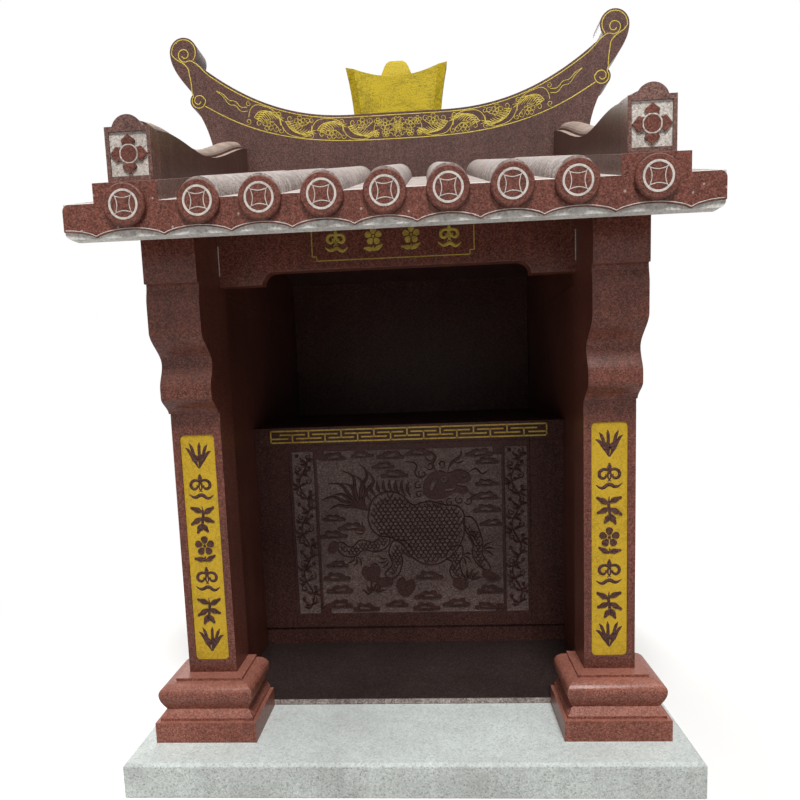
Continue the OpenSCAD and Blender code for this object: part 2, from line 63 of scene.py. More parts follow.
def linear(colour: str) -> tuple[float, float, float, float]:
    """Turns an sRGB hex colour into linear values.

    Args:
        colour: six hex digits after a hash sign.

    Returns:
        Red, green, blue and an alpha of 1.
    """
    parts = [int(colour[i:i + 2], 16) / 255 for i in (1, 3, 5)]
    r, g, b = (c / 12.92 if c <= 0.04045 else ((c + 0.055) / 1.055) ** 2.4 for c in parts)
    return (r, g, b, 1.0)


def add(tree: bpy.types.NodeTree, kind: str, links: dict[Any, Any] | None = None,
        stops: Sequence[Stop] = (), **settings: Any) -> bpy.types.Node:
    """Adds a node with its settings and links.

    Args:
        tree: the tree that gets the node.
        kind: the node's type.
        links: inputs by name or number, each with a socket to link or a value to set.
        stops: places and colours of a colour ramp.
        settings: the node's own properties.

    Returns:
        The new node.
    """
    made = tree.nodes.new(kind)
    for key, value in settings.items():
        setattr(made, key, value)
    for key, source in (links or {}).items():
        if isinstance(source, bpy.types.NodeSocket):
            tree.links.new(source, made.inputs[key])
        else:
            made.inputs[key].default_value = source
    for i, (place, colour) in enumerate(stops):
        ramp = made.color_ramp.elements
        element = ramp[i] if i < 2 else ramp.new(place)
        element.position = place
        element.color = linear(colour)
    return made


@dataclass(frozen=True)
class SunkPanel:
    """The floor of a sunk panel, as a box in metres that takes another finish; X and Y count from the middle."""

    centre: tuple[float, float, float]
    half: tuple[float, float, float]

    def mask(self, tree: bpy.types.NodeTree, place: bpy.types.NodeSocket) -> bpy.types.NodeSocket:
        """Gives 1 inside the box and 0 outside it.

        Args:
            tree: the material's tree.
            place: the Object coordinates.

        Returns:
            The socket with the mask.
        """
        axes = add(tree, "ShaderNodeSeparateXYZ", {0: place}).outputs
        inside = None
        for i, axis in enumerate(axes):
            if i < 2:
                axis = add(tree, "ShaderNodeMath", {0: axis}, operation="ABSOLUTE").outputs[0]
            test = add(tree, "ShaderNodeMath", {0: axis, 1: self.centre[i], 2: self.half[i]},
                       operation="COMPARE").outputs[0]
            inside = test if inside is None else add(
                tree, "ShaderNodeMath", {0: inside, 1: test}, operation="MULTIPLY").outputs[0]
        return inside


@dataclass(frozen=True)
class Granite:
    """Granite: a mosaic of crystals, cut and then polished, sawn, flamed or sandblasted."""

    name: str
    minerals: tuple[Stop, ...]
    grain_mm: float
    roughness: float
    # The colour and amount on upward faces: dust, and also a painted sky sheen.
    dust_and_sheen: str
    upward_coverage: float
    bump_mm: float
    streaks: float = 0.2
    specular: float = 0.3
    splash: float = 0.0
    panel: SunkPanel | None = None
    ground: "Granite | None" = None

    def crystals(self, tree: bpy.types.NodeTree, place: bpy.types.NodeSocket) -> bpy.types.NodeSocket:
        """Draws the crystals, larger clouds in the stone and weather streaks.

        Args:
            tree: the material's tree.
            place: the Object coordinates.

        Returns:
            The socket with the colour.
        """
        cells = add(tree, "ShaderNodeTexVoronoi", {"Vector": place, "Scale": 1 / (self.grain_mm * MM)})
        pick = add(tree, "ShaderNodeSeparateColor", {0: cells.outputs["Color"]})
        mosaic = add(tree, "ShaderNodeValToRGB", {0: pick.outputs[0]}, self.minerals).outputs[0]
        cloud = add(tree, "ShaderNodeTexNoise", {"Vector": place, "Scale": 1 / (320 * MM), "Detail": 5.0,
                "Roughness": 0.6})
        shade = add(tree, "ShaderNodeValToRGB", {0: cloud.outputs[0]}, ((0.3, "#cfcaca"),
                (0.7, "#ffffff"))).outputs[0]
        stone = add(tree, "ShaderNodeMix", {0: 1.0, 6: mosaic, 7: shade}, data_type="RGBA",
                    blend_type="MULTIPLY").outputs[2]
        fall = add(tree, "ShaderNodeMapping", {0: place, 3: (1 / (26 * MM), 1 / (26 * MM),
                1 / (700 * MM))}).outputs[0]
        runs = add(tree, "ShaderNodeTexNoise", {"Vector": fall, "Scale": 1.0, "Detail": 4.0})
        stain = add(tree, "ShaderNodeValToRGB", {0: runs.outputs[0]}, ((0.42, "#8f8886"),
                (0.6, "#ffffff"))).outputs[0]
        stone = add(tree, "ShaderNodeMix", {0: self.streaks, 6: stone, 7: stain}, data_type="RGBA",
                    blend_type="MULTIPLY").outputs[2]
        if not self.splash:
            return stone
        drops = add(tree, "ShaderNodeTexVoronoi", {"Vector": place, "Scale": 1 / (38 * MM)})
        size = add(tree, "ShaderNodeSeparateColor", {0: drops.outputs["Color"]}).outputs[1]
        limit = add(tree, "ShaderNodeMapRange", {0: size, 1: 0.55, 2: 1.0, 3: 0.0, 4: 0.14}).outputs[0]
        spot = add(tree, "ShaderNodeMath", {0: drops.outputs["Distance"], 1: limit},
                   operation="LESS_THAN").outputs[0]
        lime = add(tree, "ShaderNodeMath", {0: spot, 1: self.splash}, operation="MULTIPLY").outputs[0]
        return add(tree, "ShaderNodeMix", {0: lime, 6: stone, 7: linear("#c4b3ab")}, data_type="RGBA").outputs[2]

    def upward_dust_and_sheen(self, tree: bpy.types.NodeTree, place: bpy.types.NodeSocket) -> bpy.types.NodeSocket:
        """Gives the dust that lies on upward faces, which also serves as a painted sky sheen there.

        Args:
            tree: the material's tree.
            place: the Object coordinates.

        Returns:
            The socket with the amount of dust and painted sheen.
        """
        normal = add(tree, "ShaderNodeNewGeometry").outputs["Normal"]
        upward = add(tree, "ShaderNodeSeparateXYZ", {0: normal}).outputs[2]
        lying = add(tree, "ShaderNodeMapRange", {0: upward, 1: 0.2, 2: 0.95, 3: 0.04, 4: self.upward_coverage}).outputs[0]
        patchy = add(tree, "ShaderNodeTexNoise", {"Vector": place, "Scale": 1 / (60 * MM), "Detail": 6.0,
                "Roughness": 0.7})
        uneven = add(tree, "ShaderNodeMapRange", {0: patchy.outputs[0], 1: 0.3, 2: 0.65, 3: 0.45,
                4: 1.0}).outputs[0]
        return add(tree, "ShaderNodeMath", {0: lying, 1: uneven}, operation="MULTIPLY").outputs[0]

    def relief(self, tree: bpy.types.NodeTree, place: bpy.types.NodeSocket) -> bpy.types.NodeSocket:
        """Gives the height of the worked surface.

        Args:
            tree: the material's tree.
            place: the Object coordinates.

        Returns:
            The socket with the height.
        """
        return add(tree, "ShaderNodeTexNoise", {"Vector": place, "Scale": 1 / (2.2 * self.grain_mm * MM),
                                                "Detail": 4.0}).outputs[0]

    def build(self) -> bpy.types.Material:
        """Makes the material.

        Returns:
            The new material.
        """
        made = bpy.data.materials.new(self.name)
        made.use_nodes = True
        tree = made.node_tree
        shader = tree.nodes["Principled BSDF"]
        place = add(tree, "ShaderNodeTexCoord").outputs["Object"]
        # Dust and a painted sky sheen lighten the upward faces.
        dust_and_sheen = self.upward_dust_and_sheen(tree, place)
        colour = self.crystals(tree, place)
        colour = add(tree, "ShaderNodeMix", {0: dust_and_sheen, 6: colour, 7: linear(self.dust_and_sheen)}, data_type="RGBA").outputs[2]
        wear = add(tree, "ShaderNodeTexNoise", {"Vector": place, "Scale": 1 / (90 * MM), "Detail": 5.0}).outputs[0]
        dull = add(tree, "ShaderNodeMath", {0: dust_and_sheen, 1: 0.4, 2: self.roughness - 0.05},
                   operation="MULTIPLY_ADD").outputs[0]
        rough = add(tree, "ShaderNodeMath", {0: wear, 1: 0.1, 2: dull}, operation="MULTIPLY_ADD").outputs[0]
        height = self.relief(tree, place)
        depth = self.bump_mm * MM
        if self.panel and self.ground:
            sunk = self.panel.mask(tree, place)
            colour = add(tree, "ShaderNodeMix", {0: sunk, 6: colour, 7: self.ground.crystals(tree, place)},
                         data_type="RGBA").outputs[2]
            rough = add(tree, "ShaderNodeMix", {0: sunk, 2: rough, 3: self.ground.roughness}).outputs[0]
            height = add(tree, "ShaderNodeMix", {0: sunk, 2: 0.0, 3: self.ground.relief(tree, place)}).outputs[0]
            depth = self.ground.bump_mm * MM
        bump = add(tree, "ShaderNodeBump", {"Height": height, "Strength": 0.8, "Distance": depth}).outputs[0]
        shader.inputs["Specular IOR Level"].default_value = self.specular
        for key, source in (("Base Color", colour), ("Roughness", rough), ("Normal", bump)):
            tree.links.new(source, shader.inputs[key])
        return made


@dataclass(frozen=True)
class Paint:
    """Brushed masonry paint on stone: a thick film that keeps brush marks and thins over the grain."""

    name: str
    film: str
    thin: str
    grain_mm: float
    roughness: float
    bump_mm: float
    brush: tuple[float, float, float] = (1.0, 1.0, 1.0)

    def build(self) -> bpy.types.Material:
        """Makes the material.

        Returns:
            The new material.
        """
        made = bpy.data.materials.new(self.name)
        made.use_nodes = True
        tree = made.node_tree
        shader = tree.nodes["Principled BSDF"]
        place = add(tree, "ShaderNodeTexCoord").outputs["Object"]
        swept = add(tree, "ShaderNodeMapping", {0: place, 3: self.brush}).outputs[0]
        grain = add(tree, "ShaderNodeTexNoise", {"Vector": place, "Scale": 1 / (self.grain_mm * MM),
                "Detail": 3.0}).outputs[0]
        marks = add(tree, "ShaderNodeTexNoise", {"Vector": swept, "Scale": 1 / (14 * MM), "Detail": 5.0,
                "Roughness": 0.65}).outputs[0]
        patches = add(tree, "ShaderNodeTexNoise", {"Vector": place, "Scale": 1 / (110 * MM),
                "Detail": 4.0}).outputs[0]
        worn = add(tree, "ShaderNodeMath", {0: grain, 1: marks}, operation="MULTIPLY").outputs[0]
        worn = add(tree, "ShaderNodeMath", {0: patches, 1: 0.35, 2: worn}, operation="MULTIPLY_ADD").outputs[0]
        colour = add(tree, "ShaderNodeValToRGB", {0: worn}, ((0.3, self.thin), (0.46, self.film))).outputs[0]
        rough = add(tree, "ShaderNodeMath", {0: marks, 1: 0.25, 2: self.roughness - 0.12},
                    operation="MULTIPLY_ADD").outputs[0]
        height = add(tree, "ShaderNodeMath", {0: marks, 1: 0.6, 2: grain}, operation="MULTIPLY_ADD").outputs[0]
        bump = add(tree, "ShaderNodeBump", {"Height": height, "Strength": 0.9,
                                            "Distance": self.bump_mm * MM}).outputs[0]
        shader.inputs["Specular IOR Level"].default_value = 0.2
        for key, source in (("Base Color", colour), ("Roughness", rough), ("Normal", bump)):
            tree.links.new(source, shader.inputs[key])
        return made


# Red granite, sawn and polished: brown-red feldspar, pink crystals and black mica under a clear gloss.
# The real crystals are 2 to 4 mm.
POLISHED = Granite("polished_red_granite", ((0.0, "#3f1d15"), (0.25, "#653428"), (0.6, "#733d31"),
                                            (0.92, "#8c5748")),
                   3.6, 0.3, "#9c7466", 0.35, 0.1)
# The same stone along the eaves, with splashes of lime left from the building work.
SPLASHED = replace(POLISHED, name="splashed_red_granite", splash=0.5)
# The same stone on the verge courses and end blocks, dulled and greyed by handling and dust.
SCUFFED = replace(SPLASHED, name="scuffed_red_granite", minerals=((0.0, "#452a25"), (0.25, "#694840"),
        (0.6, "#78564e"), (0.92, "#917065")))
# The same stone on the column bases, in brighter and redder tones as painted sunlight, worn and dusted by feet and
# brooms; its pale dust on upward faces is also a painted sky sheen.
SUNLIT_WORN = replace(POLISHED, name="sunlit_worn_red_granite", minerals=((0.0, "#603228"), (0.25, "#85493b"), (0.6, "#945748"),
        (0.92, "#ad7160")), dust_and_sheen="#b37e6e")
# The same stone under the roof: honed, and darkened as painted shade.
SHADED_HONED = Granite("shaded_honed_red_granite", ((0.0, "#33201d"), (0.3, "#4f322d"), (0.65, "#5a3a34"), (0.95, "#6c4c45")),
                3.6, 0.42, "#5a4540", 0.2, 0.1, 0.1, 0.16)
# The dark floor inside: a dark stone, darkened further as painted shade under the roof.
SHADED_FLOOR = replace(SHADED_HONED, name="shaded_floor_plate_granite", minerals=((0.0, "#1f1817"), (0.3, "#2f2524"),
        (0.65, "#372c2b"), (0.95, "#463a38")), dust_and_sheen="#3f3532")
# The roof slabs: the stone under the roof, dark as painted shade, with a pale crust of lichen and rain on the
# slopes.
SHADED_DECK = replace(SHADED_HONED, name="shaded_roof_deck_granite", dust_and_sheen="#c2b8b2", upward_coverage=1.0)
# The same stone on the main ridge, in greyer and darker tones.
GREYED = replace(SPLASHED, name="greyed_red_granite", minerals=((0.0, "#33201c"), (0.25, "#523630"),
        (0.6, "#603f38"), (0.92, "#77564e")))
# The same stone on the verge ridges: rain has left a pale crust on their rounded tops.
CRUSTED = replace(GREYED, name="crusted_red_granite", splash=0.0, dust_and_sheen="#b5a294", upward_coverage=1.0, streaks=0.35)
# The same stone blasted with grit: the broken crystals scatter light, so it turns pale and matt.
SANDBLASTED = Granite("sandblasted_red_granite", ((0.0, "#a8a096"), (0.35, "#cdc6bc"), (0.7, "#dad4cb"),
        (0.95, "#ebe6df")),
                      4.0, 0.85, "#d6cfc6", 0.2, 0.9, 0.05, 0.2)
# The blasted ground of the altar's front: grey-pink, darkened as painted shade under the roof.
SHADED_BLASTED = replace(SANDBLASTED, name="shaded_blasted_granite",
                       minerals=((0.0, "#604b48"), (0.35, "#7d6864"), (0.7, "#8b7671"), (0.95, "#a18e88")))
# The same stone straight from the saw: whitish, with a pink cast and rain stains.
SAWN = Granite("sawn_red_granite", ((0.0, "#8a7973"), (0.3, "#a99a94"), (0.65, "#bbafa9"), (0.95, "#d2c9c4")),
               5.0, 0.72, "#cbc3be", 0.5, 0.8, 0.45)
# The eave boards: sawn stone with a skim of white cement.
SKIMMED = Granite("skimmed_granite", ((0.0, "#c3bdb6"), (0.3, "#dad6cf"), (0.65, "#e4e1db"), (0.95, "#f0eee9")),
                  6.0, 0.8, "#e4e1db", 0.3, 0.6, 0.12, 0.2)
# Grey granite, flamed: quartz and feldspar specks on a rough, matt face.
FLAMED = Granite("flamed_grey_granite", ((0.0, "#a4a9a6"), (0.2, "#c6cbc7"), (0.6, "#d2d9d5"), (0.92, "#e2e7e3")),
                 4.2, 0.8, "#ced6d3", 0.5, 0.7, 0.1, 0.25)
# Gold-yellow masonry paint on the ingot, brushed thickly along it.
INGOT_PAINT = Paint("ingot_gold_paint", "#c0a71f", "#917e14", 5.0, 0.6, 1.6, (0.3, 1.0, 1.0))
# The same paint on sandblasted stone: the grain shows through as dark pits.
PANEL_PAINT = Paint("panel_gold_paint", "#c4a02b", "#a98825", 4.0, 0.6, 1.2)
# Gold paint run into cut lines, slightly glossy.
LINE_PAINT = Paint("line_gold_paint", "#d7c154", "#b29a38", 5.0, 0.5, 0.4)
# The altar's fret, in a paler gold that shows in the shade.
FRET_PAINT = replace(LINE_PAINT, name="fret_gold_paint", film="#e3bf5c", thin="#bb9539")
# The name board's lines, in a darker and duller gold as painted shade under the eave.
SHADED_BOARD_PAINT = replace(LINE_PAINT, name="shaded_board_gold_paint", film="#b79d47", thin="#8f7935")
# White paint run into the cut lines of the coins.
WHITE_PAINT = Paint("line_white_paint", "#cdc5bd", "#a89c95", 4.0, 0.6, 0.4)


@dataclass(frozen=True)
class Face:
    """A flat place for carving: the world place of its middle and the side that it faces."""

    x: float
    y: float
    z: float
    side: Side = Side.FRONT

    def matrix(self) -> Matrix:
        """Gives the move from the face's own plane, in mm, to the shrine's frame in metres."""
        s = -self.side.value
        return Matrix(((s * MM, 0, 0, self.x * MM), (0, 0, -s * MM, self.y * MM), (0, MM, 0, self.z * MM),
                       (0, 0, 0, 1)))


@dataclass
class Carving:
    """Lines and flat raised shapes on one face, drawn in mm, that become one piece."""

    name: str
    face: Face
    height: float
    lines: list[tuple[list[Point], float, bool, bool]] = field(default_factory=list)
    shapes: list[tuple[list[list[Point]], bool]] = field(default_factory=list)
    bars: list[tuple[Point, Point, float]] = field(default_factory=list)

    def line(self, points: Sequence[Point], width: float, taper: bool = False, closed: bool = False) -> None:
        """Adds a smooth line through points.

        Args:
            points: the places that it passes, in mm.
            width: its width.
            taper: whether it thins to a point at both ends.
            closed: whether it joins its own start.
        """
        self.lines.append((list(points), width, taper, closed))

    def shape(self, *outlines: Sequence[Point], smooth: bool = True) -> None:
        """Adds flat raised shapes; an outline inside another one is a hole.

        Args:
            outlines: the closed outlines.
            smooth: whether curves or straight edges join the points.
        """
        self.shapes.append(([list(o) for o in outlines], smooth))

    def bar(self, start: Point, end: Point, width: float) -> None:
        """Adds a straight bar along the face's own axes."""
        self.bars.append((start, end, width))

    def _curve(self, flat: bool) -> bpy.types.Curve:
        """Makes an empty curve for lines or for flat shapes."""
        curve = bpy.data.curves.new(self.name, "CURVE")
        curve.dimensions = "2D" if flat else "3D"
        curve.fill_mode = "BOTH" if flat else "FULL"
        return curve

    def _spline(self, curve: bpy.types.Curve, points: Sequence[Point], closed: bool, smooth: bool = True,
                taper: bool = False) -> None:
        """Adds one spline to a curve.

        Args:
            curve: the curve that gets it.
            points: its points.
            closed: whether it is a loop.
            smooth: whether its points are joined by curves.
            taper: whether its ends thin out.
        """
        spline = curve.splines.new("BEZIER")
        spline.bezier_points.add(len(points) - 1)
        spline.use_cyclic_u = closed
        spline.resolution_u = 4 if smooth else 1
        last = max(1, len(points) - 1)
        for i, (u, v) in enumerate(points):
            knot = spline.bezier_points[i]
            knot.co = (u, v, 0)
            knot.handle_left_type = knot.handle_right_type = "AUTO" if smooth else "VECTOR"
            knot.radius = 0.25 + 0.75 * math.sin(math.pi * i / last) ** 0.7 if taper else 1.0

    def _join(self, target: bmesh.types.BMesh, curve: bpy.types.Curve, squeeze: float) -> None:
        """Turns a curve into a mesh, squeezes it to the carving's height and joins it to the piece.

        Args:
            target: the piece's mesh.
            curve: the curve; it is removed.
            squeeze: the factor on its height.
        """
        holder = bpy.data.objects.new(self.name, curve)
        mesh = bpy.data.meshes.new_from_object(holder)
        mesh.transform(Matrix.Diagonal((1, 1, squeeze, 1)))
        target.from_mesh(mesh)
        bpy.data.objects.remove(holder)
        bpy.data.curves.remove(curve)
        bpy.data.meshes.remove(mesh)

    def build(self, finish: bpy.types.Material, slot: Slot) -> bpy.types.Object:
        """Makes the piece, puts it on the body and dresses it.

        Args:
            finish: its material.
            slot: not used.

        Returns:
            The new object.
        """
        shell = bmesh.new()
        widths = sorted({width for _, width, _, _ in self.lines})
        for width in widths:
            curve = self._curve(False)
            curve.bevel_depth = width / 2
            curve.bevel_resolution = 1
            curve.use_fill_caps = True
            for points, own, taper, closed in self.lines:
                if own == width:
                    self._spline(curve, points, closed, True, taper)
            self._join(shell, curve, 2 * self.height / width)
        for outlines, smooth in self.shapes:
            curve = self._curve(True)
            curve.extrude = self.height - 0.4
            curve.bevel_depth = 0.4
            curve.bevel_resolution = 0
            curve.offset = -0.4
            for points in outlines:
                self._spline(curve, points, True, smooth)
            self._join(shell, curve, 1.0)
        for (u0, v0), (u1, v1), width in self.bars:
            size = (abs(u1 - u0) + width, abs(v1 - v0) + width, 2 * self.height, 1)
            place = Matrix.Translation(((u0 + u1) / 2, (v0 + v1) / 2, 0)) @ Matrix.Diagonal(size)
            bmesh.ops.create_cube(shell, size=1.0, matrix=place)
        shell.transform(self.face.matrix())
        bmesh.ops.recalc_face_normals(shell, faces=shell.faces)
        mesh = bpy.data.meshes.new(self.name)
        shell.to_mesh(mesh)
        shell.free()
        return dress(bpy.data.objects.new(self.name, mesh), finish)


def dress(piece: bpy.types.Object, finish: bpy.types.Material) -> bpy.types.Object:
    """Links a new piece, gives it its material and puts it on the body.

    Args:
        piece: the new object.
        finish: its material.

    Returns:
        The same object.
    """
    bpy.context.scene.collection.objects.link(piece)
    piece.data.materials.append(finish)
    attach(piece, "root")
    LOG.info("%s: %d faces", piece.name, len(piece.data.polygons))
    return piece


def turned(points: Sequence[Point], angle: float, at: Point = (0.0, 0.0), scale: float = 1.0,
           flip: bool = False) -> list[Point]:
    """Turns, scales, mirrors and moves a drawing.

    Args:
        points: its points.
        angle: the turn, in degrees.
        at: where its origin goes.
        scale: its size.
        flip: whether it is mirrored across its own first axis before the turn.

    Returns:
        The moved points.
    """
    c, s = math.cos(math.radians(angle)) * scale, math.sin(math.radians(angle)) * scale
    m = -1 if flip else 1
    return [(at[0] + c * u - s * v * m, at[1] + s * u + c * v * m) for u, v in points]


def ring(r: float, n: int = 12, at: Point = (0.0, 0.0), squash: float = 1.0) -> list[Point]:
    """Gives the points of a circle or an oval."""
    return [(at[0] + r * math.cos(math.tau * i / n),
             at[1] + squash * r * math.sin(math.tau * i / n)) for i in range(n)]


def spiral(r0: float, r1: float, start: float, turn: float, at: Point = (0.0, 0.0), n: int = 12) -> list[Point]:
    """Gives a spiral that runs from one radius to another, with its angles in degrees."""
    steps = [i / n for i in range(n + 1)]
    return [(at[0] + (r0 + (r1 - r0) * t) * math.cos(math.radians(start + turn * t)),
             at[1] + (r0 + (r1 - r0) * t) * math.sin(math.radians(start + turn * t))) for t in steps]


def leaf(length: float, width: float, bend: float = 0.0) -> list[Point]:
    """Gives a pointed leaf from the origin along the first axis.

    Args:
        length: its length.
        width: its greatest width.
        bend: how far its tip swings to the side.

    Returns:
        Its closed outline.
    """
    profile = ((0.0, 0.06), (0.2, 0.34), (0.42, 0.5), (0.7, 0.32), (1.0, 0.0))
    upper = [(length * t, width * w + bend * t * t) for t, w in profile]
    lower = [(length * t, -width * w + bend * t * t) for t, w in reversed(profile[:-1])]
    return upper + lower


@dataclass
class Coins:
    """The coin pattern on the eave discs: a white ring, a square with hollow sides and four short rays."""

    gap: float = 168.0
    count: int = 7
    end_x: float = 708.0
    z: float = 1785.0
    face_y: float = 1084.0
    ring_out: float = 40.6
    ring_in: float = 34.4
    corner: float = 30.0
    waist: float = 17.0
    cut: float = 2.6

    def places(self) -> list[float]:
        """Gives the middles of the discs along X."""
        inner = [(i - (self.count - 1) / 2) * self.gap for i in range(self.count)]
        return [-self.end_x, *inner, self.end_x]

    def build(self, side: Side, finish: bpy.types.Material) -> None:
        """Makes the coin lines on one side.

        Args:
            side: the front or the back eave.
            finish: the paint in the lines.
        """
        art = Carving(f"{side.name.lower()}_coin_lines", Face(0, side.value * self.face_y, self.z, side), 0.9)
        for x in self.places():
            for k in range(4):
                a, b = (math.radians(45 + 90 * (k + j)) for j in (0, 1))
                mid = math.radians(90 + 90 * k)
                start, end = ((x + self.corner * math.cos(t), self.corner * math.sin(t)) for t in (a, b))
                art.line([start, (x + self.waist * math.cos(mid), self.waist * math.sin(mid)), end], self.cut)
                ray = [(x + r * math.cos(a), r * math.sin(a)) for r in (self.corner, self.ring_in + 1)]
                art.line(ray, self.cut)
            art.shape(ring(self.ring_out, 16, (x, 0)), ring(self.ring_in, 16, (x, 0)))
        art.build(finish, Slot.RED)


@dataclass
class BlockFlowers:
    """The carved flowers on the end blocks: four ogee petals and a button, with a pale ring between them."""

    x: float = 719.5
    z: float = 1944.7
    ground_y: float = 999.0
    proud: float = 5.4
    button_r: float = 23.0
    ring_r: float = 27.0
    petal: tuple[Point, ...] = ((27.0, 12.0), (30.5, 18.5), (35.0, 20.0), (40.0, 17.0), (44.5, 10.0), (49.0, 4.0))
    tip: float = 53.5

    def build(self, side: Side, stone: bpy.types.Material, ground: bpy.types.Material) -> None:
        """Makes the flowers on one side.

        Args:
            side: the front or the back eave.
            stone: the polished stone.
            ground: the blasted stone of the ring.
        """
        face = Face(0, side.value * self.ground_y, self.z, side)
        art = Carving(f"{side.name.lower()}_block_flowers", face, self.proud)
        rings = Carving(f"{side.name.lower()}_block_rings", face, self.proud)
        half = [*self.petal, (self.tip, 0.0)]
        outline = [*half, *((r, -w) for r, w in reversed(self.petal))]
        for x in (-self.x, self.x):
            for angle in range(0, 360, 90):
                art.shape(turned(outline, angle, (x, 0)))
            art.shape(ring(self.button_r, 16, (x, 0)))
            rings.shape(ring(self.ring_r, 16, (x, 0)), ring(self.button_r, 16, (x, 0)))
        art.build(stone, Slot.RED)
        rings.build(ground, Slot.RED)


@dataclass
class DripLine:
    """The white line cut along the apron's braced lower edge."""

    gap: float = 168.0
    count: int = 7
    end_x: float = 708.0
    out_x: float = 797.0
    half: float = 887.0
    low_z: float = 1704.0
    rise: float = 18.0
    inset: float = 4.0
    face_y: float = 1070.0

    def build(self, side: Side, finish: bpy.types.Material) -> None:
        """Makes the line on one side.

        Args:
            side: the front or the back eave.
            finish: the paint in the line.
        """
        discs = [-self.end_x, *((i - (self.count - 1) / 2) * self.gap for i in range(self.count)), self.end_x]
        tips = [-self.out_x, *((a + b) / 2 for a, b in zip(discs, discs[1:])), self.out_x]
        art = Carving(f"{side.name.lower()}_drip_line", Face(0, side.value * self.face_y, self.low_z, side), 0.7)
        for a, b in zip(tips, tips[1:]):
            art.line([(a + (b - a) * t / 12,
                       self.inset + self.rise * math.sin(math.pi * t / 12) ** 0.7) for t in range(13)], 2.4)
        wing = self.half - 5 - self.out_x
        for s in (-1, 1):
            art.line([(s * (self.out_x + wing * t / 6), self.inset + self.rise * math.sin(math.pi * t / 12) ** 0.7)
                      for t in range(7)], 2.4)
        art.build(finish, Slot.RED)


@dataclass
class RidgeGold:
    """Gold lines on the main ridge: a border that ends in spirals, and a flower scroll along it."""

    face_y: float = 54.0
    slab_h: float = 112.0
    ridge_h: float = 2300.4
    rise: float = 291.0
    flat: float = 185.0
    scroll_x: float = 902.0
    scroll_r: float = 60.0
    lobe_x: float = 850.0
    lobe_up: float = 92.0
    lobe_r: float = 37.0
    inset: float = 11.0
    cut: float = 4.2

    def upper(self, x: float) -> float:
        """Gives the height of the upper border line over the slab."""
        t = max(0.0, abs(x) - self.flat) / (self.scroll_x - self.flat)
        steep = self.rise * 2.25 * t ** 1.25 / (self.scroll_x - self.flat)
        return self.ridge_h + self.rise * t ** 2.25 - self.inset * math.hypot(1, steep)

    def lower(self, x: float) -> float:
        """Gives the height of the lower border line over the slab."""
        return 2193 + 3.2e-7 * abs(x) ** 3

    def band(self, x: float, t: float) -> Point:
        """Gives a place in the band between the border lines.

        Args:
            x: the distance from the middle.
            t: the place across the band, from -0.5 to 0.5.

        Returns:
            The place on the ridge's face.
        """
        return (x, self.lower(x) + (t + 0.5) * (self.upper(x) - self.lower(x)))

    def border(self, art: Carving, s: int) -> None:
        """Draws the border lines of one half.

        Args:
            art: the carving.
            s: the half's sign.
        """
        tip = (self.scroll_x, self.ridge_h + self.rise)
        lobe = (self.lobe_x, self.ridge_h + self.lobe_up)
        r = self.scroll_r - 9
        notch = (tip[0] + r * math.cos(math.radians(228)), tip[1] + r * math.sin(math.radians(228)))
        top = [(x, self.upper(x)) for x in range(0, 850, 50)]
        curl = spiral(30, 11, 238, 460, (tip[0] - 2, tip[1] - 10), 16)
        head = spiral(r, r, 222, -232, tip, 14)
        hollow = [(lobe[0] + 26 + 26 * t * t, lobe[1] + 34 + (tip[1] - lobe[1] - 60) * t) for t in (0.75, 0.5, 0.25,
                0.0)]
        tail = spiral(self.lobe_r - 8, self.lobe_r - 8, 40, -225, lobe, 10) + spiral(26, 8, -200, -330,
                (lobe[0], lobe[1]), 12)
        low = [(x, self.lower(x)) for x in range(0, 810, 45)] + [(lobe[0] - 26, lobe[1] - 22)]
        for points in (top + [notch] + curl, head + hollow + tail, low):
            art.line([(s * u, v) for u, v in points], self.cut)

    def blossom(self, art: Carving, at: Point, r: float, petals: int) -> None:
        """Draws an open flower of looped petals round a ring.

        Args:
            art: the carving.
            at: its middle.
            r: its radius.
            petals: the number of petals.
        """
        for k in range(petals):
            petal = [(0.32 * r, 0), (0.62 * r, 0.33 * r), (0.95 * r, 0.2 * r), (0.86 * r, 0), (0.95 * r, -0.2 * r),
                     (0.62 * r, -0.33 * r)]
            art.line(turned(petal, 90 + 360 * k / petals, at), 2.4, closed=True)
        art.line(ring(0.26 * r, 8, at), 2.6, closed=True)

    def scroll_leaf(self, art: Carving, x: float, s: int, up: int, length: float) -> None:
        """Draws a curled leaf with feathered strokes, bent along the band.

        Args:
            art: the carving.
            x: where it starts, from the middle.
            s: the half's sign.
            up: the side of the band that it curls to.
            length: its length along the band.
        """
        stem = [(-0.04, 0.1), (0.02, -0.24), (0.2, -0.42), (0.5, -0.45), (0.8, -0.36), (0.97, -0.1), (1.02, 0.16)]
        rib = [(0.08, -0.18), (0.28, -0.3), (0.5, -0.28), (0.7, -0.14), (0.84, 0.1)]
        strokes = [(stem, 3.2, False), ([(t, w + 0.5) for t, w in stem[1:4]], 3.0, False), (rib, 4.0, False)]
        for i in range(12):
            along = i / 11 * (len(rib) - 1.001)
            (t0, w0), (t1, w1) = rib[int(along)], rib[int(along) + 1]
            f = along - int(along)
            t, w = t0 + (t1 - t0) * f, w0 + (w1 - w0) * f
            lift = 0.06 + 0.16 * math.sin(math.pi * (0.1 + 0.8 * i / 11))
            for out in (lift, -0.5 * lift):
                strokes.append(([(t, w), (t - 0.13, w + 0.3 * out), (t - 0.27, w + out)], 3.8, True))
        for points, width, taper in strokes:
            placed = [self.band(x + t * length, up * w) for t, w in points]
            art.line([(s * u, v) for u, v in placed], width, taper)
        u, v = self.band(x + 0.36 * length, up * 0.2)
        self.blossom(art, (s * u, v), 25, 5)
        for t, w, r, start in ((0.68, 0.26, 15, 200), (0.1, 0.28, 13, 20), (1.0, -0.32, 12, 120),
                               (1.04, 0.32, 13, 300)):
            u, v = self.band(x + t * length, up * w)
            art.line([(s * a, b) for a, b in spiral(r, 3, start, up * 420, (u, v), 12)], 3.0, True)

